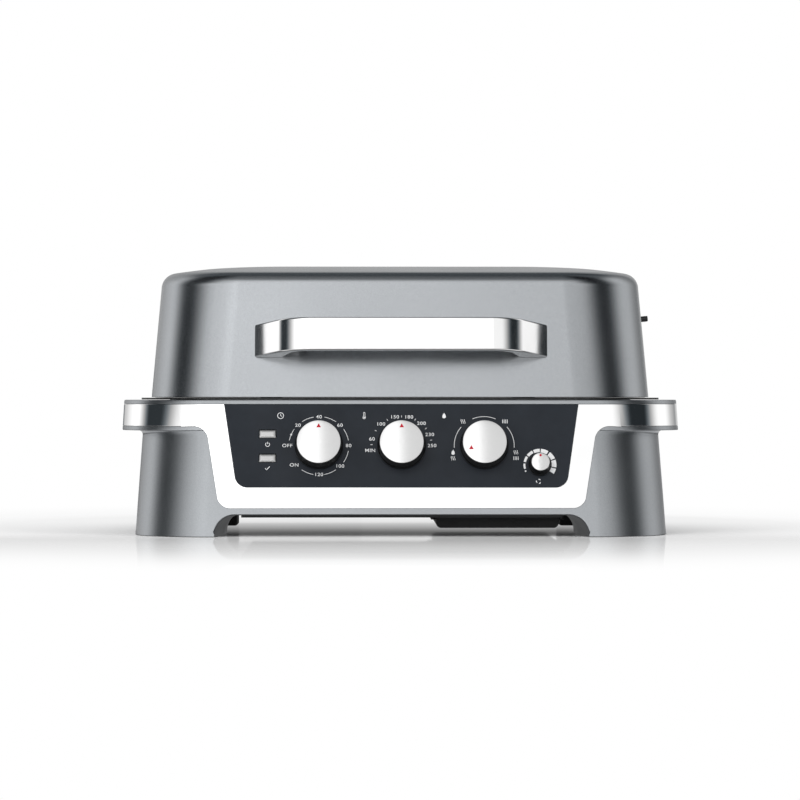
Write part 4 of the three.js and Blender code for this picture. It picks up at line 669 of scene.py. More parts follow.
def floor_finish():
    """Pale floor with the grill's shadow and a mirror image that fades towards the camera, evenly
    white further off. Under and behind the grill the camera sees a painted glow that lightens the
    grill's shadow there. In bright metal the floor shows as painted shade, dim near the grill, with a
    lighter painted ring further out. Distances are in metres from the frame's origin, under the grill."""
    material = bpy.data.materials.new("pale floor")
    material.use_nodes = True
    nodes = material.node_tree.nodes
    nodes.clear()
    sums = Sums(material.node_tree)
    place = nodes.new("ShaderNodeTexCoord").outputs["Object"]
    back = sums.node("ShaderNodeSeparateXYZ", {0: place}).outputs[1]
    length = sums.node("ShaderNodeVectorMath", {0: place})
    length.operation = "LENGTH"
    away = length.outputs["Value"]
    path = nodes.new("ShaderNodeLightPath")
    # Share of white seen by the camera: even white far off, and a painted glow under and behind the grill
    # that lightens its shadow there
    white_and_painted_lift = sums("MAXIMUM", sums.step(away, (0.3, 0.6)), sums.step(back, (-0.18, 0.25), (0, 0.62)))
    mirror = sums.times(sums.ramp(back, (-1.05, -0.29), (0, 0.48)), sums.step(back, (-0.26, -0.1), (1, 0.2)),
                        sums.step(away, (0.5, 0.9), (1, 0)))
    matte = sums.shader("ShaderNodeBsdfDiffuse", {"Color": (0.86, 0.86, 0.86, 1)})
    white = sums.shader("ShaderNodeEmission", {})
    sheen = sums.shader("ShaderNodeBsdfGlossy", {"Color": (1, 1, 1, 1), "Roughness": 0.035})
    ground = sums.mixed(sums.times(white_and_painted_lift, path.outputs["Is Camera Ray"]), matte, white)
    # Painted shade seen in reflections: bright metal sees the floor as a dim emission near the grill, with a
    # lighter painted ring further out
    ring = sums.times(sums.step(away, (0.28, 0.42)), sums.step(away, (0.8, 1.2), (1, 0)))
    dim = sums.shader("ShaderNodeEmission", {"Strength": sums("ADD", 0.16, sums.times(ring, 0.7))})
    shown = sums.mixed(mirror, ground, sheen)
    sums.node("ShaderNodeOutputMaterial", {"Surface": sums.mixed(path.outputs["Is Glossy Ray"], shown, dim)})
    return material


def light_world(world):
    """A white room. In bright metal it shows a soft box on the left, two dark screens beside the
    camera, a dim rear on either side and a dark ceiling. All places are in degrees: the azimuth is
    0 towards the camera and grows to the right, and the height is 0 at the horizon."""
    world.use_nodes = True
    world.cycles.sampling_method = "NONE"
    nodes, links = world.node_tree.nodes, world.node_tree.links
    sums = Sums(world.node_tree)
    way = nodes.new("ShaderNodeTexCoord").outputs["Generated"]
    right, back, up = sums.node("ShaderNodeSeparateXYZ", {0: way}).outputs
    azimuth = sums("DEGREES", sums("ARCTAN2", right, sums.times(back, -1)))
    height = sums("DEGREES", sums("ARCSINE", up))

    level = sums.times(sums.step(azimuth, (-3, 4), (2, 1.08)), sums.step(azimuth, (-24, -8), (0.78, 1)))
    high_left = sums.times(sums.step(height, (21, 28)), sums.step(azimuth, (-14, -5), (1, 0)))
    level = sums.lowered(level, high_left, 0.18)

    lean = sums.ramp(height, (17, 30), (-3, 10))
    left_side = sums("SUBTRACT", azimuth, sums.times(lean, 1.3))
    right_side = sums("ADD", azimuth, lean)
    left_screen = sums.times(sums.step(azimuth, (-116, -86)), sums.step(left_side, (-70, -36), (1, 0)))
    right_screen = sums.times(sums.step(right_side, (29, 57)), sums.step(azimuth, (72, 101), (1, 0)))
    for screen in (left_screen, right_screen):
        level = sums.lowered(level, screen, 0.975)
    level = sums.times(level, sums.step(azimuth, (-136, -100), (0.6, 1)))

    behind = sums.step(sums("ABSOLUTE", azimuth), (130, 148))
    edge = sums("MAXIMUM", sums.step(azimuth, (-170, -148), (0.2, 1)), sums.step(height, (0.5, 3)))
    rear_level = sums.times(sums.step(height, (4, 9), (0.65, 0.6)), sums.step(height, (30, 50), (1, 1.3)),
                            edge)
    level = sums("ADD", sums.lowered(level, behind), sums.times(rear_level, behind))
    dip = sums.times(sums.step(azimuth, (112, 134)), sums.step(azimuth, (146, 160), (1, 0)))
    level = sums.lowered(level, dip, 0.5)

    ceiling = sums.step(height, (36, 58), (1, 0.22))
    below_floor = sums.step(height, (-2, 0.3), (0.15, 1))
    level = sums.times(level, ceiling, below_floor)

    path = nodes.new("ShaderNodeLightPath")
    mirrored = sums("MAXIMUM", path.outputs["Is Glossy Ray"], path.outputs["Is Transmission Ray"])
    seen = path.outputs["Is Camera Ray"]
    rest = sums.times(sums("SUBTRACT", 1, sums("MAXIMUM", mirrored, seen)), 0.9)
    strength = sums("ADD", sums("ADD", seen, sums.times(mirrored, level)), rest)
    links.new(strength, nodes["Background"].inputs["Strength"])
    tint = sums.node("ShaderNodeValToRGB", {"Fac": strength})
    stops = ((0, (0.72, 0.88, 1, 1)), (0.4, (1, 1, 1, 1)))
    for element, (position, tone) in zip(tint.color_ramp.elements, stops):
        element.position = position
        element.color = tone
    links.new(tint.outputs["Color"], nodes["Background"].inputs["Color"])


# Housing, band and panel
HOUSING_WALL = 3.2
FRONT_WALL = 5.2
RIM_WALL = 5
# Lowest and highest rings of the room inside, in the body and in the rim
HOLLOW_BODY = (5.6, 107.2)
HOLLOW_RIM = (108.7, 133.5)
HOUSING_WAIST = 50
COVE_FOOT = 100.5
COVE_RISE = 4.9
COVE_REACH = 5
COVE_TURNS = (18, 36, 54, 72, 90)
# The rim's broken edges: height from its bottom or its top, and inset
RIM_LOWER_EDGE = ((0, 0.9), (0.3, 0.25), (0.9, 0))
RIM_UPPER_EDGE = ((1.2, 0), (0.4, 0.3), (0, 1.2))
ARCH_TOP = 21.5
ARCH_CORNER = 19
ARCH_MOUTH = 186.5
ARCH_INNER = 178
ARCH_FLARE = 45
ARCH_MEET = MIDDLE - 16.5
ARCH_LIP = 1.5
REAR_ARCH_HALF = 212
REAR_ARCH_CORNER = 6
SIDE_ARCH = (MIDDLE - 105, MIDDLE + 72)
SIDE_ARCH_REACH = 400
INLET_PLACE = (-175, 66)
INLET_HALF = (15, 12)
PAD_X = 226
PAD_Y = MIDDLE - 150
PAD_HALF = (18, 28)
PAD_CORNER = 12
PAD_POCKET_TOP = 2.9
BAND_BOTTOM = 110
BAND_TOP = 132
BAND_THICK = 1.7
BIB_BOTTOM = 28.5
BIB_SHOULDER = 196
BIB_LOW = 182
BIB_INNER_CORNER = 12.5
BIB_CORNER = 11
PANEL_BOTTOM = 49
PANEL_WIDE = 177.8
PANEL_NARROW = 164.8
PANEL_SUNK = 0.5
LENS_HALF = (8.55, 4.3)
LENS_CORNER = 1.2
# The lens's crown: inset and height
LENS_CROWN = ((0, -9), (0, -1), (0.3, -0.7), (0.8, -0.45), (1.5, -0.24), (2.3, -0.1), (3.2, 0))


def rim_column(name, inset):
    """The rim's outline, drawn up from below the bib to above the rim."""
    return column(name, [rim_ring(8.5, inset), rim_ring(RIM_TOP + OVERRUN, inset)], TOOL_STEPS)


def tunnels(grow):
    """The three arches under the floor: front, rear and side to side."""
    top, mouth, inner = ARCH_TOP + grow, ARCH_MOUTH + grow, ARCH_INNER + grow
    start, rear_half = front_at(BODY_FOOT), REAR_ARCH_HALF + grow
    front = block("front arch", (-mouth, mouth), (start - OVERRUN, start), (-OVERRUN, top))
    round_edges(front, "y", ARCH_CORNER, 12, lambda place: place.z > 0)
    for length, share in ((ARCH_FLARE, inner / mouth), (ARCH_MEET - start - ARCH_FLARE, 1)):
        choose(front, "FACE", lambda face: face.normal.y > 0.99)
        draw_out(y=length)
        bpy.ops.transform.resize(value=(share, 1, 1), center_override=(0, 0, 0))
        done()
    rear = block("rear arch", (-rear_half, rear_half), (ARCH_MEET, rear_at(BODY_FOOT) + OVERRUN),
                 (-OVERRUN, top))
    round_edges(rear, "y", REAR_ARCH_CORNER, 6, lambda place: place.z > 0)
    side = block("side arch", (-SIDE_ARCH_REACH, SIDE_ARCH_REACH), (SIDE_ARCH[0] - grow, SIDE_ARCH[1] + grow),
                 (-OVERRUN, top))
    round_edges(side, "x", ARCH_CORNER, 12, lambda place: place.z > 0)
    return front, rear, side


def bib_plate(name, grow):
    """The band's bib as a thick plate: a bar along the band, and the part that comes down from it."""
    edge, bottom = up_panel(BAND_BOTTOM) - grow, up_panel(BIB_BOTTOM) - grow
    shoulder, low = BIB_SHOULDER + grow, BIB_LOW + grow
    across, top = shoulder + 25, up_panel(BAND_BOTTOM + 11)
    bar = block(name, (-across, across), (edge, top), (-OVERRUN, OVERRUN))
    drop = block(name + " drop", (-shoulder, shoulder), (bottom, edge + 1), (-OVERRUN, OVERRUN))
    narrow(drop, lambda place: place.y < bottom + 1, low / shoulder)
    plate = weld(bar, drop)
    round_edges(plate, "z", BIB_INNER_CORNER - grow, 12,
                lambda place: abs(place.y - edge) < 0.5 and abs(place.x) < shoulder + 5)
    round_edges(plate, "z", BIB_CORNER + grow, 12, lambda place: abs(place.y - bottom) < 0.5)
    return onto_panel(plate)


def panel_plate(name, shrink, top, low, high):
    """The panel's outline as a plate, its sides spreading up to the top."""
    bottom, full = up_panel(PANEL_BOTTOM) + shrink, up_panel(BAND_TOP)
    spread = (PANEL_WIDE - PANEL_NARROW) / (full - up_panel(PANEL_BOTTOM))
    wide, low_half = PANEL_WIDE - shrink + spread * (top - full), PANEL_NARROW - shrink
    plate = block(name, (-wide, wide), (bottom, top), (low, high))
    narrow(plate, lambda place: place.y < bottom + 1, low_half / wide)
    round_edges(plate, "z", BIB_CORNER - shrink, 12, lambda place: abs(place.y - bottom) < 0.5)
    return plate


def trim_mask(name, grow):
    band = block(name, (-FAR, FAR), (-FAR, FAR), (BAND_BOTTOM - grow, BAND_TOP + grow))
    return weld(band, bib_plate(name + " bib", grow))


def panel_holes(dial_bore, blower_bore):
    """Tools for the holes behind the dials and the lamps."""
    places = [(dial_bore, x, 0) for _, x in DIALS] + [(blower_bore, *BLOWER_PLACE)]
    holes = [onto_panel(rod("bush", bore, "z", -OVERRUN, OVERRUN), x, y) for bore, x, y in places]
    across, up = LENS_HALF[0] + GAP, LENS_HALF[1] + GAP
    for _, y in LAMPS:
        hole = block("lamp hole", (-across, across), (-up, up), (-OVERRUN, OVERRUN))
        round_edges(hole, "z", LENS_CORNER + GAP, 5)
        holes.append(onto_panel(hole, LAMP_X, y))
    return holes


def louvres():
    """Seven slots in the rear wall; one is modelled and copied upwards."""
    left, right, bottom, top, pitch, corner = 120, 180, 38, 42, 9, 1.9
    first = block("louvre", (left, right), (rear_at(0) - 24, rear_at(0) + OVERRUN), (bottom, top))
    round_edges(first, "y", corner, 5)
    slots = [first] + [copied(first, "louvre") for _ in range(6)]
    for i, slot in enumerate(slots):
        slot.location.z = pitch * i * MM
        settle(slot)
    return slots


def inlet_hole():
    x, z = INLET_PLACE
    half, up = INLET_HALF[0] + GAP, INLET_HALF[1] + GAP
    hole = block("inlet hole", (x - half, x + half), (rear_at(z) - OVERRUN, rear_at(z) + OVERRUN),
                 (z - up, z + up))
    round_edges(hole, "y", 4, 6)
    return hole


def pad_pocket(side):
    x, half, long_half = side * PAD_X, PAD_HALF[0] + GAP, PAD_HALF[1] + GAP
    pocket = block("pad pocket", (x - half, x + half), (PAD_Y - long_half, PAD_Y + long_half),
                   (0, PAD_POCKET_TOP))
    round_edges(pocket, "z", PAD_CORNER + GAP, 8)
    return pocket


def on_front_lip(edge):
    """The front arch's edge in the housing's front face, without its ends at the feet."""
    place = middle(edge)
    return (min(vert.co.z for vert in edge.verts) > 2 * MM and place.z < ARCH_TOP + 0.5
            and abs(place.x) < ARCH_MOUTH + 1.5 and abs(place.y - front_at(place.z)) < 0.05)


def make_housing():
    rings = [body_ring(z) for z in (BODY_FOOT, HOUSING_WAIST, COVE_FOOT)]
    for angle in COVE_TURNS:
        inward, up = around(angle, 1)
        rings.append(body_ring(COVE_FOOT + COVE_RISE * up, -COVE_REACH * (1 - inward), 0))
    rings += [rim_ring(RIM_BOTTOM + up, inset) for up, inset in RIM_LOWER_EDGE]
    rings += [rim_ring(RIM_TOP - down, inset) for down, inset in RIM_UPPER_EDGE]
    shell = column("housing_shell", rings)
    hollow = column("hollow", [body_ring(z, HOUSING_WALL, FRONT_WALL) for z in HOLLOW_BODY]
                    + [rim_ring(z, RIM_WALL) for z in HOLLOW_RIM], TOOL_STEPS)
    cut(hollow, *tunnels(HOUSING_WALL))
    seat = cut(trim_mask("seat", GAP), rim_column("seat back", BAND_THICK + GAP))
    floor_hole = block("floor hole", (-150, 150), (MIDDLE - 150, MIDDLE + 125), (1.5, 27))
    tub_hole = column("tub hole", [tub_ring(0, z, -GAP) for z in (113.5, RIM_TOP + OVERRUN)], TOOL_STEPS)
    cut(shell, hollow, seat, *tunnels(0), floor_hole, tub_hole)
    cut(shell, *louvres(), inlet_hole(), *panel_holes(6.3, 4.3), *[pad_pocket(side) for side in (-1, 1)])
    bevel(shell, on_front_lip, ARCH_LIP, 4)
    soften(shell, 0.5)
    fit_out(shell, "base", "housing_paint", "housing")


def make_band():
    band = keep_inside(rim_column("bright_band", 0), trim_mask("mask", 0))
    window = panel_plate("window", 0, up_panel(BAND_TOP) + OVERRUN, -OVERRUN, OVERRUN)
    cut(band, rim_column("band back", BAND_THICK), onto_panel(window))
    soften(band, 0.35)
    fit_out(band, "base", "polished_steel", "trim_band")


def lens_ring(inset, z):
    across, up = LENS_HALF
    return across - inset, inset - up, up - inset, LENS_CORNER if inset < 2 else 0.8, z


def make_panel():
    panel = onto_panel(panel_plate("panel_face", GAP, up_panel(BAND_TOP), -BAND_THICK, -PANEL_SUNK))
    cut(panel, *panel_holes(6, 4))
    soften(panel, 0.15, 1)
    fit_out(panel, "base", "panel_film", "control_panel")
    for name, y in LAMPS:
        lens = column(name + "_lamp", [lens_ring(inset, z) for inset, z in LENS_CROWN], 5)
        onto_panel(soften(lens, 0, angle=50), LAMP_X, y)
        fit_out(lens, "base", "lens", name + "_lens")


# Dials, with their outlines as (radius, height) from the panel's front face
DIAL_OUTLINE = [(24.3, -0.2), (24.3, 2.6), (24, 3), (23.3, 3.6), (23.1, 5.2), (22.5, 5.4), (22.5, 6.1),
                (23, 6.3), (22.8, 8.6), (22.2, 8.8), (22.2, 9.5), (22.7, 9.7), (22.5, 12), (21.9, 12.2),
                (21.9, 12.9), (22.3, 13.1), (22.1, 15.3), (21.4, 15.5), (20.8, 15.8), (20.8, 16.4)]
DIAL_FACE_EDGE = [(20.9, 16.7), (22, 16.8), (22, 17.05), (21.9, 17.25), (21.5, 17.4)]
DIAL_CROWN = 1.1
SMALL_OUTLINE = [(11.5, -0.2), (11.5, 1.8), (10.8, 2.4), (10.2, 2.9), (9.9, 6), (9.4, 6.2), (9.4, 6.8),
                 (9.7, 7), (9.5, 10), (9, 10.2), (9, 10.8), (9.3, 11), (9.1, 12.2), (8.4, 12.3)]
SMALL_FACE_EDGE = [(8.6, 12.7), (9.2, 12.8), (9.2, 13.6), (9.1, 13.8), (8.8, 13.95)]
SMALL_CROWN = 0.55
SMALL_SIDES = 72
BORE_TOP = 10.8


def dial_body(outline, bore, edge, sides=96):
    body = turned("dial", outline, sides)
    cut(body, rod("bore", bore, "z", -5, BORE_TOP))
    return soften(body, edge, 1)


def dial_face(edge, crown, radii, sides=96):
    """The bright face: its edge, and a low crown over it."""
    radius, height = edge[-1]
    rise = [(r, height + crown * (1 - (r / radius) ** 2)) for r in radii]
    return soften(turned("face", edge + rise, sides), 0, angle=50)


def make_dials():
    body = dial_body(DIAL_OUTLINE, 3.3, 0.12)
    face = dial_face(DIAL_FACE_EDGE, DIAL_CROWN, (19, 16.5, 14, 11.5, 9, 6.5, 4, 2))
    for name, x in DIALS:
        seat_dial(body, face, name, x, 0)
    small_body = dial_body(SMALL_OUTLINE, 2.3, 0.1, SMALL_SIDES)
    small_face = dial_face(SMALL_FACE_EDGE, SMALL_CROWN, (7.5, 6, 4.5, 3, 1.5), SMALL_SIDES)
    seat_dial(small_body, small_face, "blower", *BLOWER_PLACE)
    for piece in (body, face, small_body, small_face):
        bpy.data.objects.remove(piece)


def seat_dial(body, face, name, x, y):
    fit_out(onto_panel(copied(body, name + "_dial_body"), x, y), name + "_dial", "knob_black", name + "_knob")
    fit_out(onto_panel(copied(face, name + "_dial_face"), x, y), name + "_dial", "knob_face",
            name + "_knob_face")


# Print on the panel and the dials
FIGURE_HEIGHT = 3.4
INK_THICK = 0.08
INK_SUNK = 0.02
LINE = 0.5
SCALE_RADIUS = 30
# Angles in degrees round the dial, 0 to the right and 90 at the top
TIME_MARKS = ((180, "OFF"), (135, "20"), (90, "40"), (45, "60"), (0, "80"), (-45, "100"), (-90, "120"),
              (-141, "ON"))
TIME_ARCS = (-90, -45, 0, 45, 90, 135, -135)
HEAT_MARKS = ((189, "MIN"), (167, "60"), (133, "100"), (103, "150"), (76, "180"), (49, "200"), (22, "230"),
              (0, "250"))
HEAT_TICKS = (178, 149, 118, 90, 63, 36, 11)
FUNCTION_ARCS = ((140, 184), (67.4, 112.6), (-4, 40))
# The steps of the small dial's scale: angle, and half of the angle that a step takes
BLOWER_SCALE = ((204, 2.5), (185, 10), (158, 11), (130, 12), (102, 12), (72, 14), (38, 14), (5, 14),
                (-24, 10))
BLOWER_SCALE_RADIUS = 16.5
POINTER = [(-2.3, -2), (2.3, -2), (0, 2.2)]
# Place of each large dial's pointer from the dial's middle, and its height over the panel's front face
POINTER_PLACES = ((0, 16.4, 17.7), (0, 16.4, 17.7), (-13.5, -6, 17.8))


def flat_shape(name, points, thick=INK_THICK):
    """A flat figure with the given corners."""
    mesh = bpy.data.meshes.new(name)
    piece = bpy.data.objects.new(name, mesh)
    bpy.context.scene.collection.objects.link(piece)
    form = bmesh.new()
    form.faces.new([form.verts.new((x * MM, y * MM, 0)) for x, y in points])
    form.to_mesh(mesh)
    form.free()
    choose(piece, "FACE", lambda face: True)
    draw_out(z=thick)
    bpy.ops.mesh.select_all(action="SELECT")
    bpy.ops.mesh.normals_make_consistent(inside=False)
    done()
    return piece


def arc(radius, start, end, steps=16, centre=(0, 0)):
    """Points round a centre, from one angle to the other in degrees."""
    turns = [start + (end - start) * i / steps for i in range(steps + 1)]
    return [(centre[0] + x, centre[1] + y) for x, y in (around(turn, radius) for turn in turns)]


def disc(name, radius, steps, centre=(0, 0), thick=INK_THICK):
    return flat_shape(name, arc(radius, 0, 360 - 360 / (steps + 1), steps, centre), thick)


def stroke(points, width=LINE):
    """A printed line of even width along the points."""
    edges = [[], []]
    for i, point in enumerate(points):
        before, after = points[max(i - 1, 0)], points[min(i + 1, len(points) - 1)]
        along = Vector((after[0] - before[0], after[1] - before[1])).normalized() * width / 2
        edges[0].append((point[0] - along.y, point[1] + along.x))
        edges[1].append((point[0] + along.y, point[1] - along.x))
    return flat_shape("line", edges[0] + edges[1][::-1])


def words(text):
    """Printed text: its capitals are 0.7 of the type size, and it is set a little bold and wide."""
    deselect()
    bpy.ops.object.text_add()
    piece = bpy.context.object
    piece.data.body = text
    piece.data.size = FIGURE_HEIGHT * MM / 0.7
    piece.data.align_x = piece.data.align_y = "CENTER"
    piece.data.extrude = INK_THICK / 2 * MM
    piece.data.offset = 0.03 * MM
    piece.data.space_character = 1.1
    bpy.ops.object.convert(target="MESH")
    piece.data.transform(Matrix.Translation((0, 0, INK_THICK / 2 * MM)) @ Matrix.Scale(1.15, 4, (1, 0, 0)))
    return piece


def moved(pieces, x, y, size=1):
    for piece in pieces:
        piece.scale = (size, size, 1)
        piece.location = Vector((x, y, 0)) * MM
        settle(piece)
    return pieces


def clock_sign():
    return [stroke(arc(2.4, 0, 360, 32), 0.45), stroke([(0, 1.5), (0, 0), (1.1, -0.6)], 0.4)]


def heat_sign():
    """A thermometer: its bulb in a ring, two sides and a round top."""
    bulb, half, top = (0, -1.5), 0.55, 2.2
    sides = [stroke([(x, -0.5), (x, top)], 0.35) for x in (-half, half)]
    return [stroke(arc(1.05, 110, 430, 20, bulb), 0.4), *sides, stroke(arc(half, 0, 180, 10, (0, top)), 0.35),
            disc("bulb", half, 15, bulb)]


def power_sign():
    return [stroke(arc(1.7, 125, 415, 24), 0.45), stroke([(0, 2.3), (0, 0.4)], 0.45)]


def tick_sign():
    return [stroke([(-1.8, 0), (-0.6, -1.3), (1.9, 1.6)], 0.55)]


def flame_sign():
    tongue = [(1.1, 0.5), (0.5, 1.1), (0.2, 2.2), (-0.5, 1.2), (-1.1, 0.4)]
    return [flat_shape("flame", arc(1.35, 200, 340, 12, (0, -0.6)) + tongue)]


def wave_sign():
    """Three upright waves, one full swing each."""
    half, swing, steps = 1.6, 0.35, 12
    return [stroke([(x + swing * math.sin(2 * math.pi * i / steps), -half + 2 * half * i / steps)
                    for i in range(steps + 1)], 0.4) for x in (-1.3, 0, 1.3)]


def bars_sign():
    return [stroke([(x, -1.5), (x, 1.5)], 0.45) for x in (-1.8, -0.6, 0.6, 1.8)]


def fan_sign():
    return [flat_shape("blade", arc(1, turn, turn + 150, 10, around(turn + 60, 1.1)))
            for turn in (0, 120, 240)]


def time_print():
    marks = []
    for angle, text in TIME_MARKS:
        radius = SCALE_RADIUS + (1.6 if text in ("OFF", "ON") else -0.3)
        marks += moved([words(text)], *around(angle, radius))
    marks += [stroke(arc(SCALE_RADIUS, start + 10.5, start + 34.5)) for start in TIME_ARCS]
    marks += moved([disc("dot", 0.95, 15)], *around(157.6, SCALE_RADIUS))
    return marks + moved(clock_sign(), -38.4, 31, 1.25)


def heat_print():
    marks = []
    for angle, text in HEAT_MARKS:
        radius = SCALE_RADIUS + (1.8 if text == "MIN" else 0.4)
        marks += moved([words(text)], *around(angle, radius))
    marks += [stroke([around(angle, SCALE_RADIUS - 0.9), around(angle, SCALE_RADIUS + 1.1)])
              for angle in HEAT_TICKS]
    return marks + moved(heat_sign(), -37.3, 31, 1.25)


def function_print():
    marks = [stroke(arc(SCALE_RADIUS, *ends)) for ends in FUNCTION_ARCS]
    for sign, x, y, size in ((bars_sign, 21, 25, 1.3), (wave_sign, -21, 25, 1.3),
                             (flame_sign, -31.2, -6.8, 1.3), (wave_sign, -31.2, -12.9, 1.25),
                             (wave_sign, 31.6, -6.8, 1.25), (bars_sign, 31.6, -12.9, 1.25),
                             (flame_sign, -40, 31, 1.4)):
        marks += moved(sign(), x, y, size)
    return marks


def blower_print():
    """A ring of steps, each wider inwards than the one before it, and the fan's sign."""
    marks = []
    for number, (angle, half) in enumerate(BLOWER_SCALE):
        inner = 15 - 3.7 * number / (len(BLOWER_SCALE) - 1)
        outside = arc(BLOWER_SCALE_RADIUS, angle - half, angle + half)
        marks.append(flat_shape("step", outside + arc(inner, angle + half, angle - half)))
    return marks + moved(fan_sign(), -1.5, -17, 1.3)


def make_print():
    marks = moved(power_sign(), LAMP_X, 1.3, 1.2) + moved(tick_sign(), LAMP_X, -23.2, 1.2)
    for drawn, x, y in ((time_print, -DIAL_PITCH, 0), (heat_print, 0, 0), (function_print, DIAL_PITCH, 0),
                        (blower_print, *BLOWER_PLACE)):
        marks += moved(drawn(), x, y)
    fit_out(onto_panel(join_pieces(marks, "panel_print"), z=-PANEL_SUNK - INK_SUNK), "base", "ink")
    for (name, dial_x), (x, y, height) in zip(DIALS, POINTER_PLACES):
        mark = flat_shape(name + "_pointer", POINTER, 0.35)
        fit_out(onto_panel(mark, dial_x + x, y, height), name + "_dial", "red_ink")
    dot = disc("blower_pointer", 1.2, 23, thick=0.3)
    fit_out(onto_panel(dot, BLOWER_PLACE[0], BLOWER_PLACE[1] + 6.4, 14.05), "blower_dial", "red_ink")


# Lid
ROLL_REACH = 16
ROLL_RISE = 15.9
ROLL_STEPS = 10
ROLL_TURN = 8.3
CROWN_REACH = 112
CROWN_RISE = 8.6
CROWN_STEPS = 12
LID_WALL = 2.2
LINER_INSET = 12
LINER_WALL = 1.4
LINER_BOTTOM = 143.5
SEAL_INSET = 3
SEAL_WIDTH = 7


def lid_form(name, inset, bottom):
    """The lid's outside drawn inwards: sloping walls, a roll, and a crown that flattens inwards."""
    rings = [lid_ring(z, inset) for z in (bottom, 200, LID_WALL_TOP)]
    reach, rise = ROLL_REACH - inset, ROLL_RISE - inset
    for k in range(1, ROLL_STEPS + 1):
        inward, up = around(ROLL_TURN * k, 1)
        rings.append(lid_ring(LID_WALL_TOP, inset + reach * (1 - inward), LID_WALL_TOP + rise * up))
    drawn_in, base = lid_side_at(LID_WALL_TOP) - rings[-1][0], rings[-1][4]
    for k in range(1, CROWN_STEPS + 1):
        share = k / CROWN_STEPS
        rings.append(lid_ring(LID_WALL_TOP, drawn_in + (CROWN_REACH - drawn_in) * share,
                              base + CROWN_RISE * (1 - (1 - share) ** 1.7)))
    return column(name, rings)


def make_lid():
    shell = lid_form("lid_skin", 0, LID_BOTTOM)
    cut(shell, lid_form("inside", LID_WALL, LID_BOTTOM - OVERRUN))
    holes = [onto_lid_side(rod("vent", 4, "z", -OVERRUN, OVERRUN, around(angle, 12), 32))
             for angle in (0, 90, 180, 270)]
    holes.append(onto_lid_side(rod("pivot", 2.5, "z", -OVERRUN, OVERRUN, sides=24)))
    holes += [onto_lid_front(rod("screw", HANDLE_SCREW_HOLE, "z", -OVERRUN, OVERRUN, sides=24),
                             side * HANDLE_SCREW_X) for side in (-1, 1)]
    cut(shell, *holes)
    soften(shell, 0.4)
    fit_out(shell, "lid", "lid_paint", "lid_shell")


def handle_plan(name, foot_half, front_half, depth, half_height, bend, steps):
    """The plan of the handle's outside or inside: narrower at the hand, with rounded bends."""
    plan = block(name, (-foot_half, foot_half), depth, (-half_height, half_height))
    narrow(plan, lambda place: place.y > 40, front_half / foot_half)
    round_edges(plan, "z", bend, steps, lambda place: place.y > 40)
    return plan


def make_handle():
    """A bent strap: its plan is drawn flat, rounded at the bends, and stood up on the lid's front."""
    strap = handle_plan("lid_grip", 148.7, 111.5, (GAP, 50), 16.8, 20, 24)
    cut(strap, handle_plan("finger room", 123.5, 106.6, (-10, 42.5), 30, 15, 16))
    soften(strap, 1.8, 4, 40)
    strap.rotation_euler = (math.pi / 2, 0, 0)
    settle(strap)
    cut(strap, *[rod("screw hole", HANDLE_SCREW_HOLE, "z", -5, 12.3, (side * HANDLE_SCREW_X, 0), 24)
                 for side in (-1, 1)])
    smoothed(strap, 40)
    fit_out(onto_lid_front(strap), "lid", "handle_metal", "lid_handle")


def make_lid_inside():
    """The liner with its flange and the room round the vent, and the seal under it."""
    liner = lid_form("lid_lining", LINER_INSET, LINER_BOTTOM)
    weld(liner, column("flange", [lid_ring(z, 2.5) for z in (LINER_BOTTOM, LINER_BOTTOM + LINER_WALL)]))
    vent_room = onto_lid_side(rod("vent room", 16, "z", -40, -2.5))
    cut(liner, lid_form("hollow", LINER_INSET + LINER_WALL, LINER_BOTTOM - OVERRUN), vent_room)
    soften(liner, 0.4)
    fit_out(liner, "lid", "liner_metal", "lid_liner")
    heights = (LID_BOTTOM - GAP, LINER_BOTTOM - GAP)
    seal = column("rubber_seal", [lid_ring(LID_BOTTOM, SEAL_INSET, z) for z in heights])
    cut(seal, column("middle", [lid_ring(LID_BOTTOM, SEAL_INSET + SEAL_WIDTH, z) for z in (130, 150)]))
    soften(seal, 0.9, 3)
    fit_out(seal, "lid", "rubber", "lid_seal")


# Cooking tub and what stands in it
TUB_BOTTOM = 58
TUB_SHELF = 108
SHELF_RISE = 1.5
TUB_TOP = 137.5
TUB_WALL = 2
TUB_FLANGE = (267, MIDDLE - 173, MIDDLE + 166, 88)
FLANGE_HEIGHTS = (136.8, 138.6)
# Name, radius, axis, start, end, place and sides
TUB_HOLES = (("drain", 12, "z", 40, 80, (103, MIDDLE - 20), 64),
             ("air hole", 12.4, "x", 207, 285, (MIDDLE, 80), 64),
             ("bulb hole", 1.7, "y", MIDDLE - 165, MIDDLE - 106, (0, 98), 24))
ELEMENT_HEIGHT = 88
ELEMENT_RADIUS = 3.25
ELEMENT_END = 90
PLATE_BOTTOM = 111.8
PLATE_TOP = 117.8
PLATE_RIGHT = 162
RIB_FIRST = -202
RIB_PITCH = 12.6
RIB_TOP = 121.3


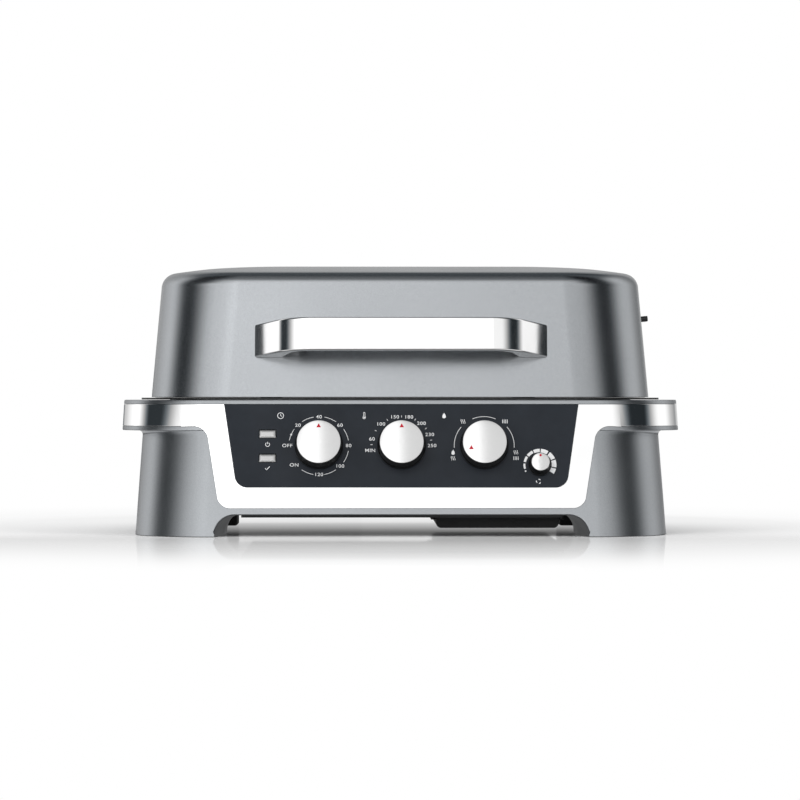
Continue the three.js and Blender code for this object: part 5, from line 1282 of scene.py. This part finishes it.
def make_tub():
    tub = column("tub_casting", [tub_ring(1, TUB_BOTTOM), tub_ring(1, TUB_SHELF),
                                 tub_ring(0, TUB_SHELF + SHELF_RISE), tub_ring(0, TUB_TOP)])
    weld(tub, column("tub rim", [(*TUB_FLANGE, z) for z in FLANGE_HEIGHTS]))
    shelf = TUB_SHELF + TUB_WALL
    cut(tub, column("tub room", [tub_ring(1, TUB_BOTTOM + TUB_WALL, TUB_WALL), tub_ring(1, shelf, TUB_WALL),
                                 tub_ring(0, shelf + SHELF_RISE, TUB_WALL), tub_ring(0, 160, TUB_WALL)]))
    terminals = [rod("terminal", ELEMENT_RADIUS + GAP, "x", 167, 285, (MIDDLE + y, ELEMENT_HEIGHT), 32)
                 for y in (-ELEMENT_END, ELEMENT_END)]
    cut(tub, *[rod(*hole) for hole in TUB_HOLES], *terminals)
    soften(tub, 0.5)
    fit_out(tub, "base", "coated_cast", "cooking_tub")


def make_plate():
    """Ribbed plate: one rib is modelled and set out across it, with slots between every second pair."""
    plate = column("ribbed_plate", [tub_ring(0, z, 5) for z in (PLATE_BOTTOM, PLATE_TOP)])
    through = (100, 130)
    kept = block("kept", (-300, PLATE_RIGHT), (MIDDLE - 170, MIDDLE + 170), through)
    round_edges(kept, "z", 8, 8)
    keep_inside(plate, kept)
    count = int((PLATE_RIGHT - 16 - RIB_FIRST) / RIB_PITCH) + 1
    wide, long, corner, starts = 4, 70, 1.95, (MIDDLE - 82, MIDDLE + 12)
    slots = []
    for i in range(0, count - 1, 2):
        left = RIB_FIRST + i * RIB_PITCH + (RIB_PITCH - wide) / 2
        for start in starts:
            slot = block("slot", (left, left + wide), (start, start + long), through)
            round_edges(slot, "z", corner, 5)
            slots.append(slot)
    cut(plate, join_pieces(slots, "slots"))
    soften(plate, 0.6)
    foot_half, crest_share = 2.5, 0.48
    rib = block("rib", (RIB_FIRST - foot_half, RIB_FIRST + foot_half), (MIDDLE - 124, MIDDLE + 128),
                (PLATE_TOP - GAP, RIB_TOP))
    narrow(rib, lambda place: place.z > 120, crest_share, RIB_FIRST)
    round_edges(rib, "y", 1.1, 5, lambda place: place.z > 120)
    soften(rib, 0.3)
    ribs = [rib] + [copied(rib, "rib") for _ in range(count - 1)]
    for i, twin in enumerate(ribs):
        twin.location.x = i * RIB_PITCH * MM
        settle(twin)
    fit_out(join_pieces([plate] + ribs, "ribbed_plate"), "base", "coated_cast", "grill_plate")


def bent_tube(name, points, radius):
    """A round tube along its centre line."""
    line = bpy.data.curves.new(name, "CURVE")
    line.dimensions = "3D"
    line.bevel_depth = radius * MM
    line.bevel_resolution = 6
    line.use_fill_caps = True
    spline = line.splines.new("POLY")
    spline.points.add(len(points) - 1)
    for knot, point in zip(spline.points, points):
        knot.co = (*[value * MM for value in point], 1)
    piece = bpy.data.objects.new(name, line)
    bpy.context.scene.collection.objects.link(piece)
    only(piece)
    bpy.ops.object.convert(target="MESH")
    return soften(bpy.context.object, 0.4, 2, 60)


def make_element():
    """Four straight runs across the tub, joined by three round bends."""
    bend, left, right, end, steps = 30, -150, 128, 232, 24
    points = [(end, MIDDLE + ELEMENT_END, ELEMENT_HEIGHT)]
    for row, y in enumerate((90, 30, -30)):
        x, way = (left, -1) if row % 2 == 0 else (right, 1)
        turns = [math.pi * i / steps for i in range(steps + 1)]
        points += [(x + way * bend * math.sin(turn), MIDDLE + y - bend + bend * math.cos(turn),
                    ELEMENT_HEIGHT) for turn in turns]
    points.append((end, MIDDLE - ELEMENT_END, ELEMENT_HEIGHT))
    fit_out(bent_tube("heating_coil", points, ELEMENT_RADIUS), "base", "element_steel", "heating_element")


def make_tray():
    """The grease tray: an open trough with a lip along each side."""
    left, right, front, back = 35.9, 160.6, MIDDLE - 140, MIDDLE + 58
    bottom, top, sheet, lip = 6, 18.2, 1.6, 3.4
    tray = block("drip_tray", (left, right), (front, back), (bottom, top))
    round_edges(tray, "y", 5, 8, lambda place: place.z < 10)
    weld(tray, block("lips", (left - lip, right + lip), (front, back), (top - 1.8, top)))
    room = block("tray room", (left + sheet, right - sheet), (front + sheet, back - sheet),
                 (bottom + sheet, 30))
    round_edges(room, "y", 5 - sheet, 6, lambda place: place.z < 10)
    cut(tray, room)
    soften(tray, 0.5)
    fit_out(tray, "tray", "black_sheet", "grease_tray")


# Pieces finished from their solids: nodes, width of the broken edges, body and slot
SMALL_PIECES = (
    ("bottom_cover", 0.5, "base", "black_sheet"),
    ("indicator_board", 0.2, "base", "circuit_board"),
    ("timer thermostat function_switch", 1, "base", "switch_body"),
    ("blower_dimmer", 0.6, "base", "switch_body"),
    ("element_rest_left element_rest_right", 0.3, "base", "steel"),
    ("chip_box", 0.4, "base", "steel"),
    ("chip_box_lid", 0.5, "base", "steel"),
    ("sensor_probe drain_funnel", 0.3, "base", "steel"),
    ("fan_frame", 0.6, "base", "black_plastic"),
    ("air_duct", 0.3, "base", "steel"),
    ("power_board", 0.3, "base", "circuit_board"),
    ("power_inlet", 0.5, "base", "black_plastic"),
    ("tray_rail_left tray_rail_right", 0.3, "base", "black_sheet"),
    ("front_left_pad front_right_pad", 0.8, "base", "rubber"),
    ("rear_left_skid rear_right_skid", 1.5, "base", "rubber"),
    ("hinge_bracket_left hinge_bracket_right", 0.5, "base", "black_sheet"),
    ("hinge_pin_left hinge_pin_right", 0.4, "base", "steel"),
    ("hinge_leaf_left hinge_leaf_right", 0.5, "lid", "steel"),
    ("handle_screw_left handle_screw_right", 0.3, "lid", "steel"),
    ("vent_disc", 0.3, "vent", "steel"),
    ("vent_grip", 1, "vent", "black_plastic"),
    ("fan_impeller", 0.2, "impeller", "black_plastic"),
    ("time_shaft", 0.3, "time_dial", "steel"),
    ("temp_shaft", 0.3, "temp_dial", "steel"),
    ("function_shaft", 0.3, "function_dial", "steel"),
    ("blower_shaft", 0.2, "blower_dial", "steel"),
)


def make_small_pieces():
    for nodes, width, body, slot in SMALL_PIECES:
        for node in nodes.split():
            fit_out(refined(node, width), body, slot, node)


set_stage()
make_housing()
make_band()
make_panel()
make_dials()
make_print()
make_lid()
make_handle()
make_lid_inside()
make_tub()
make_plate()
make_element()
make_tray()
make_small_pieces()
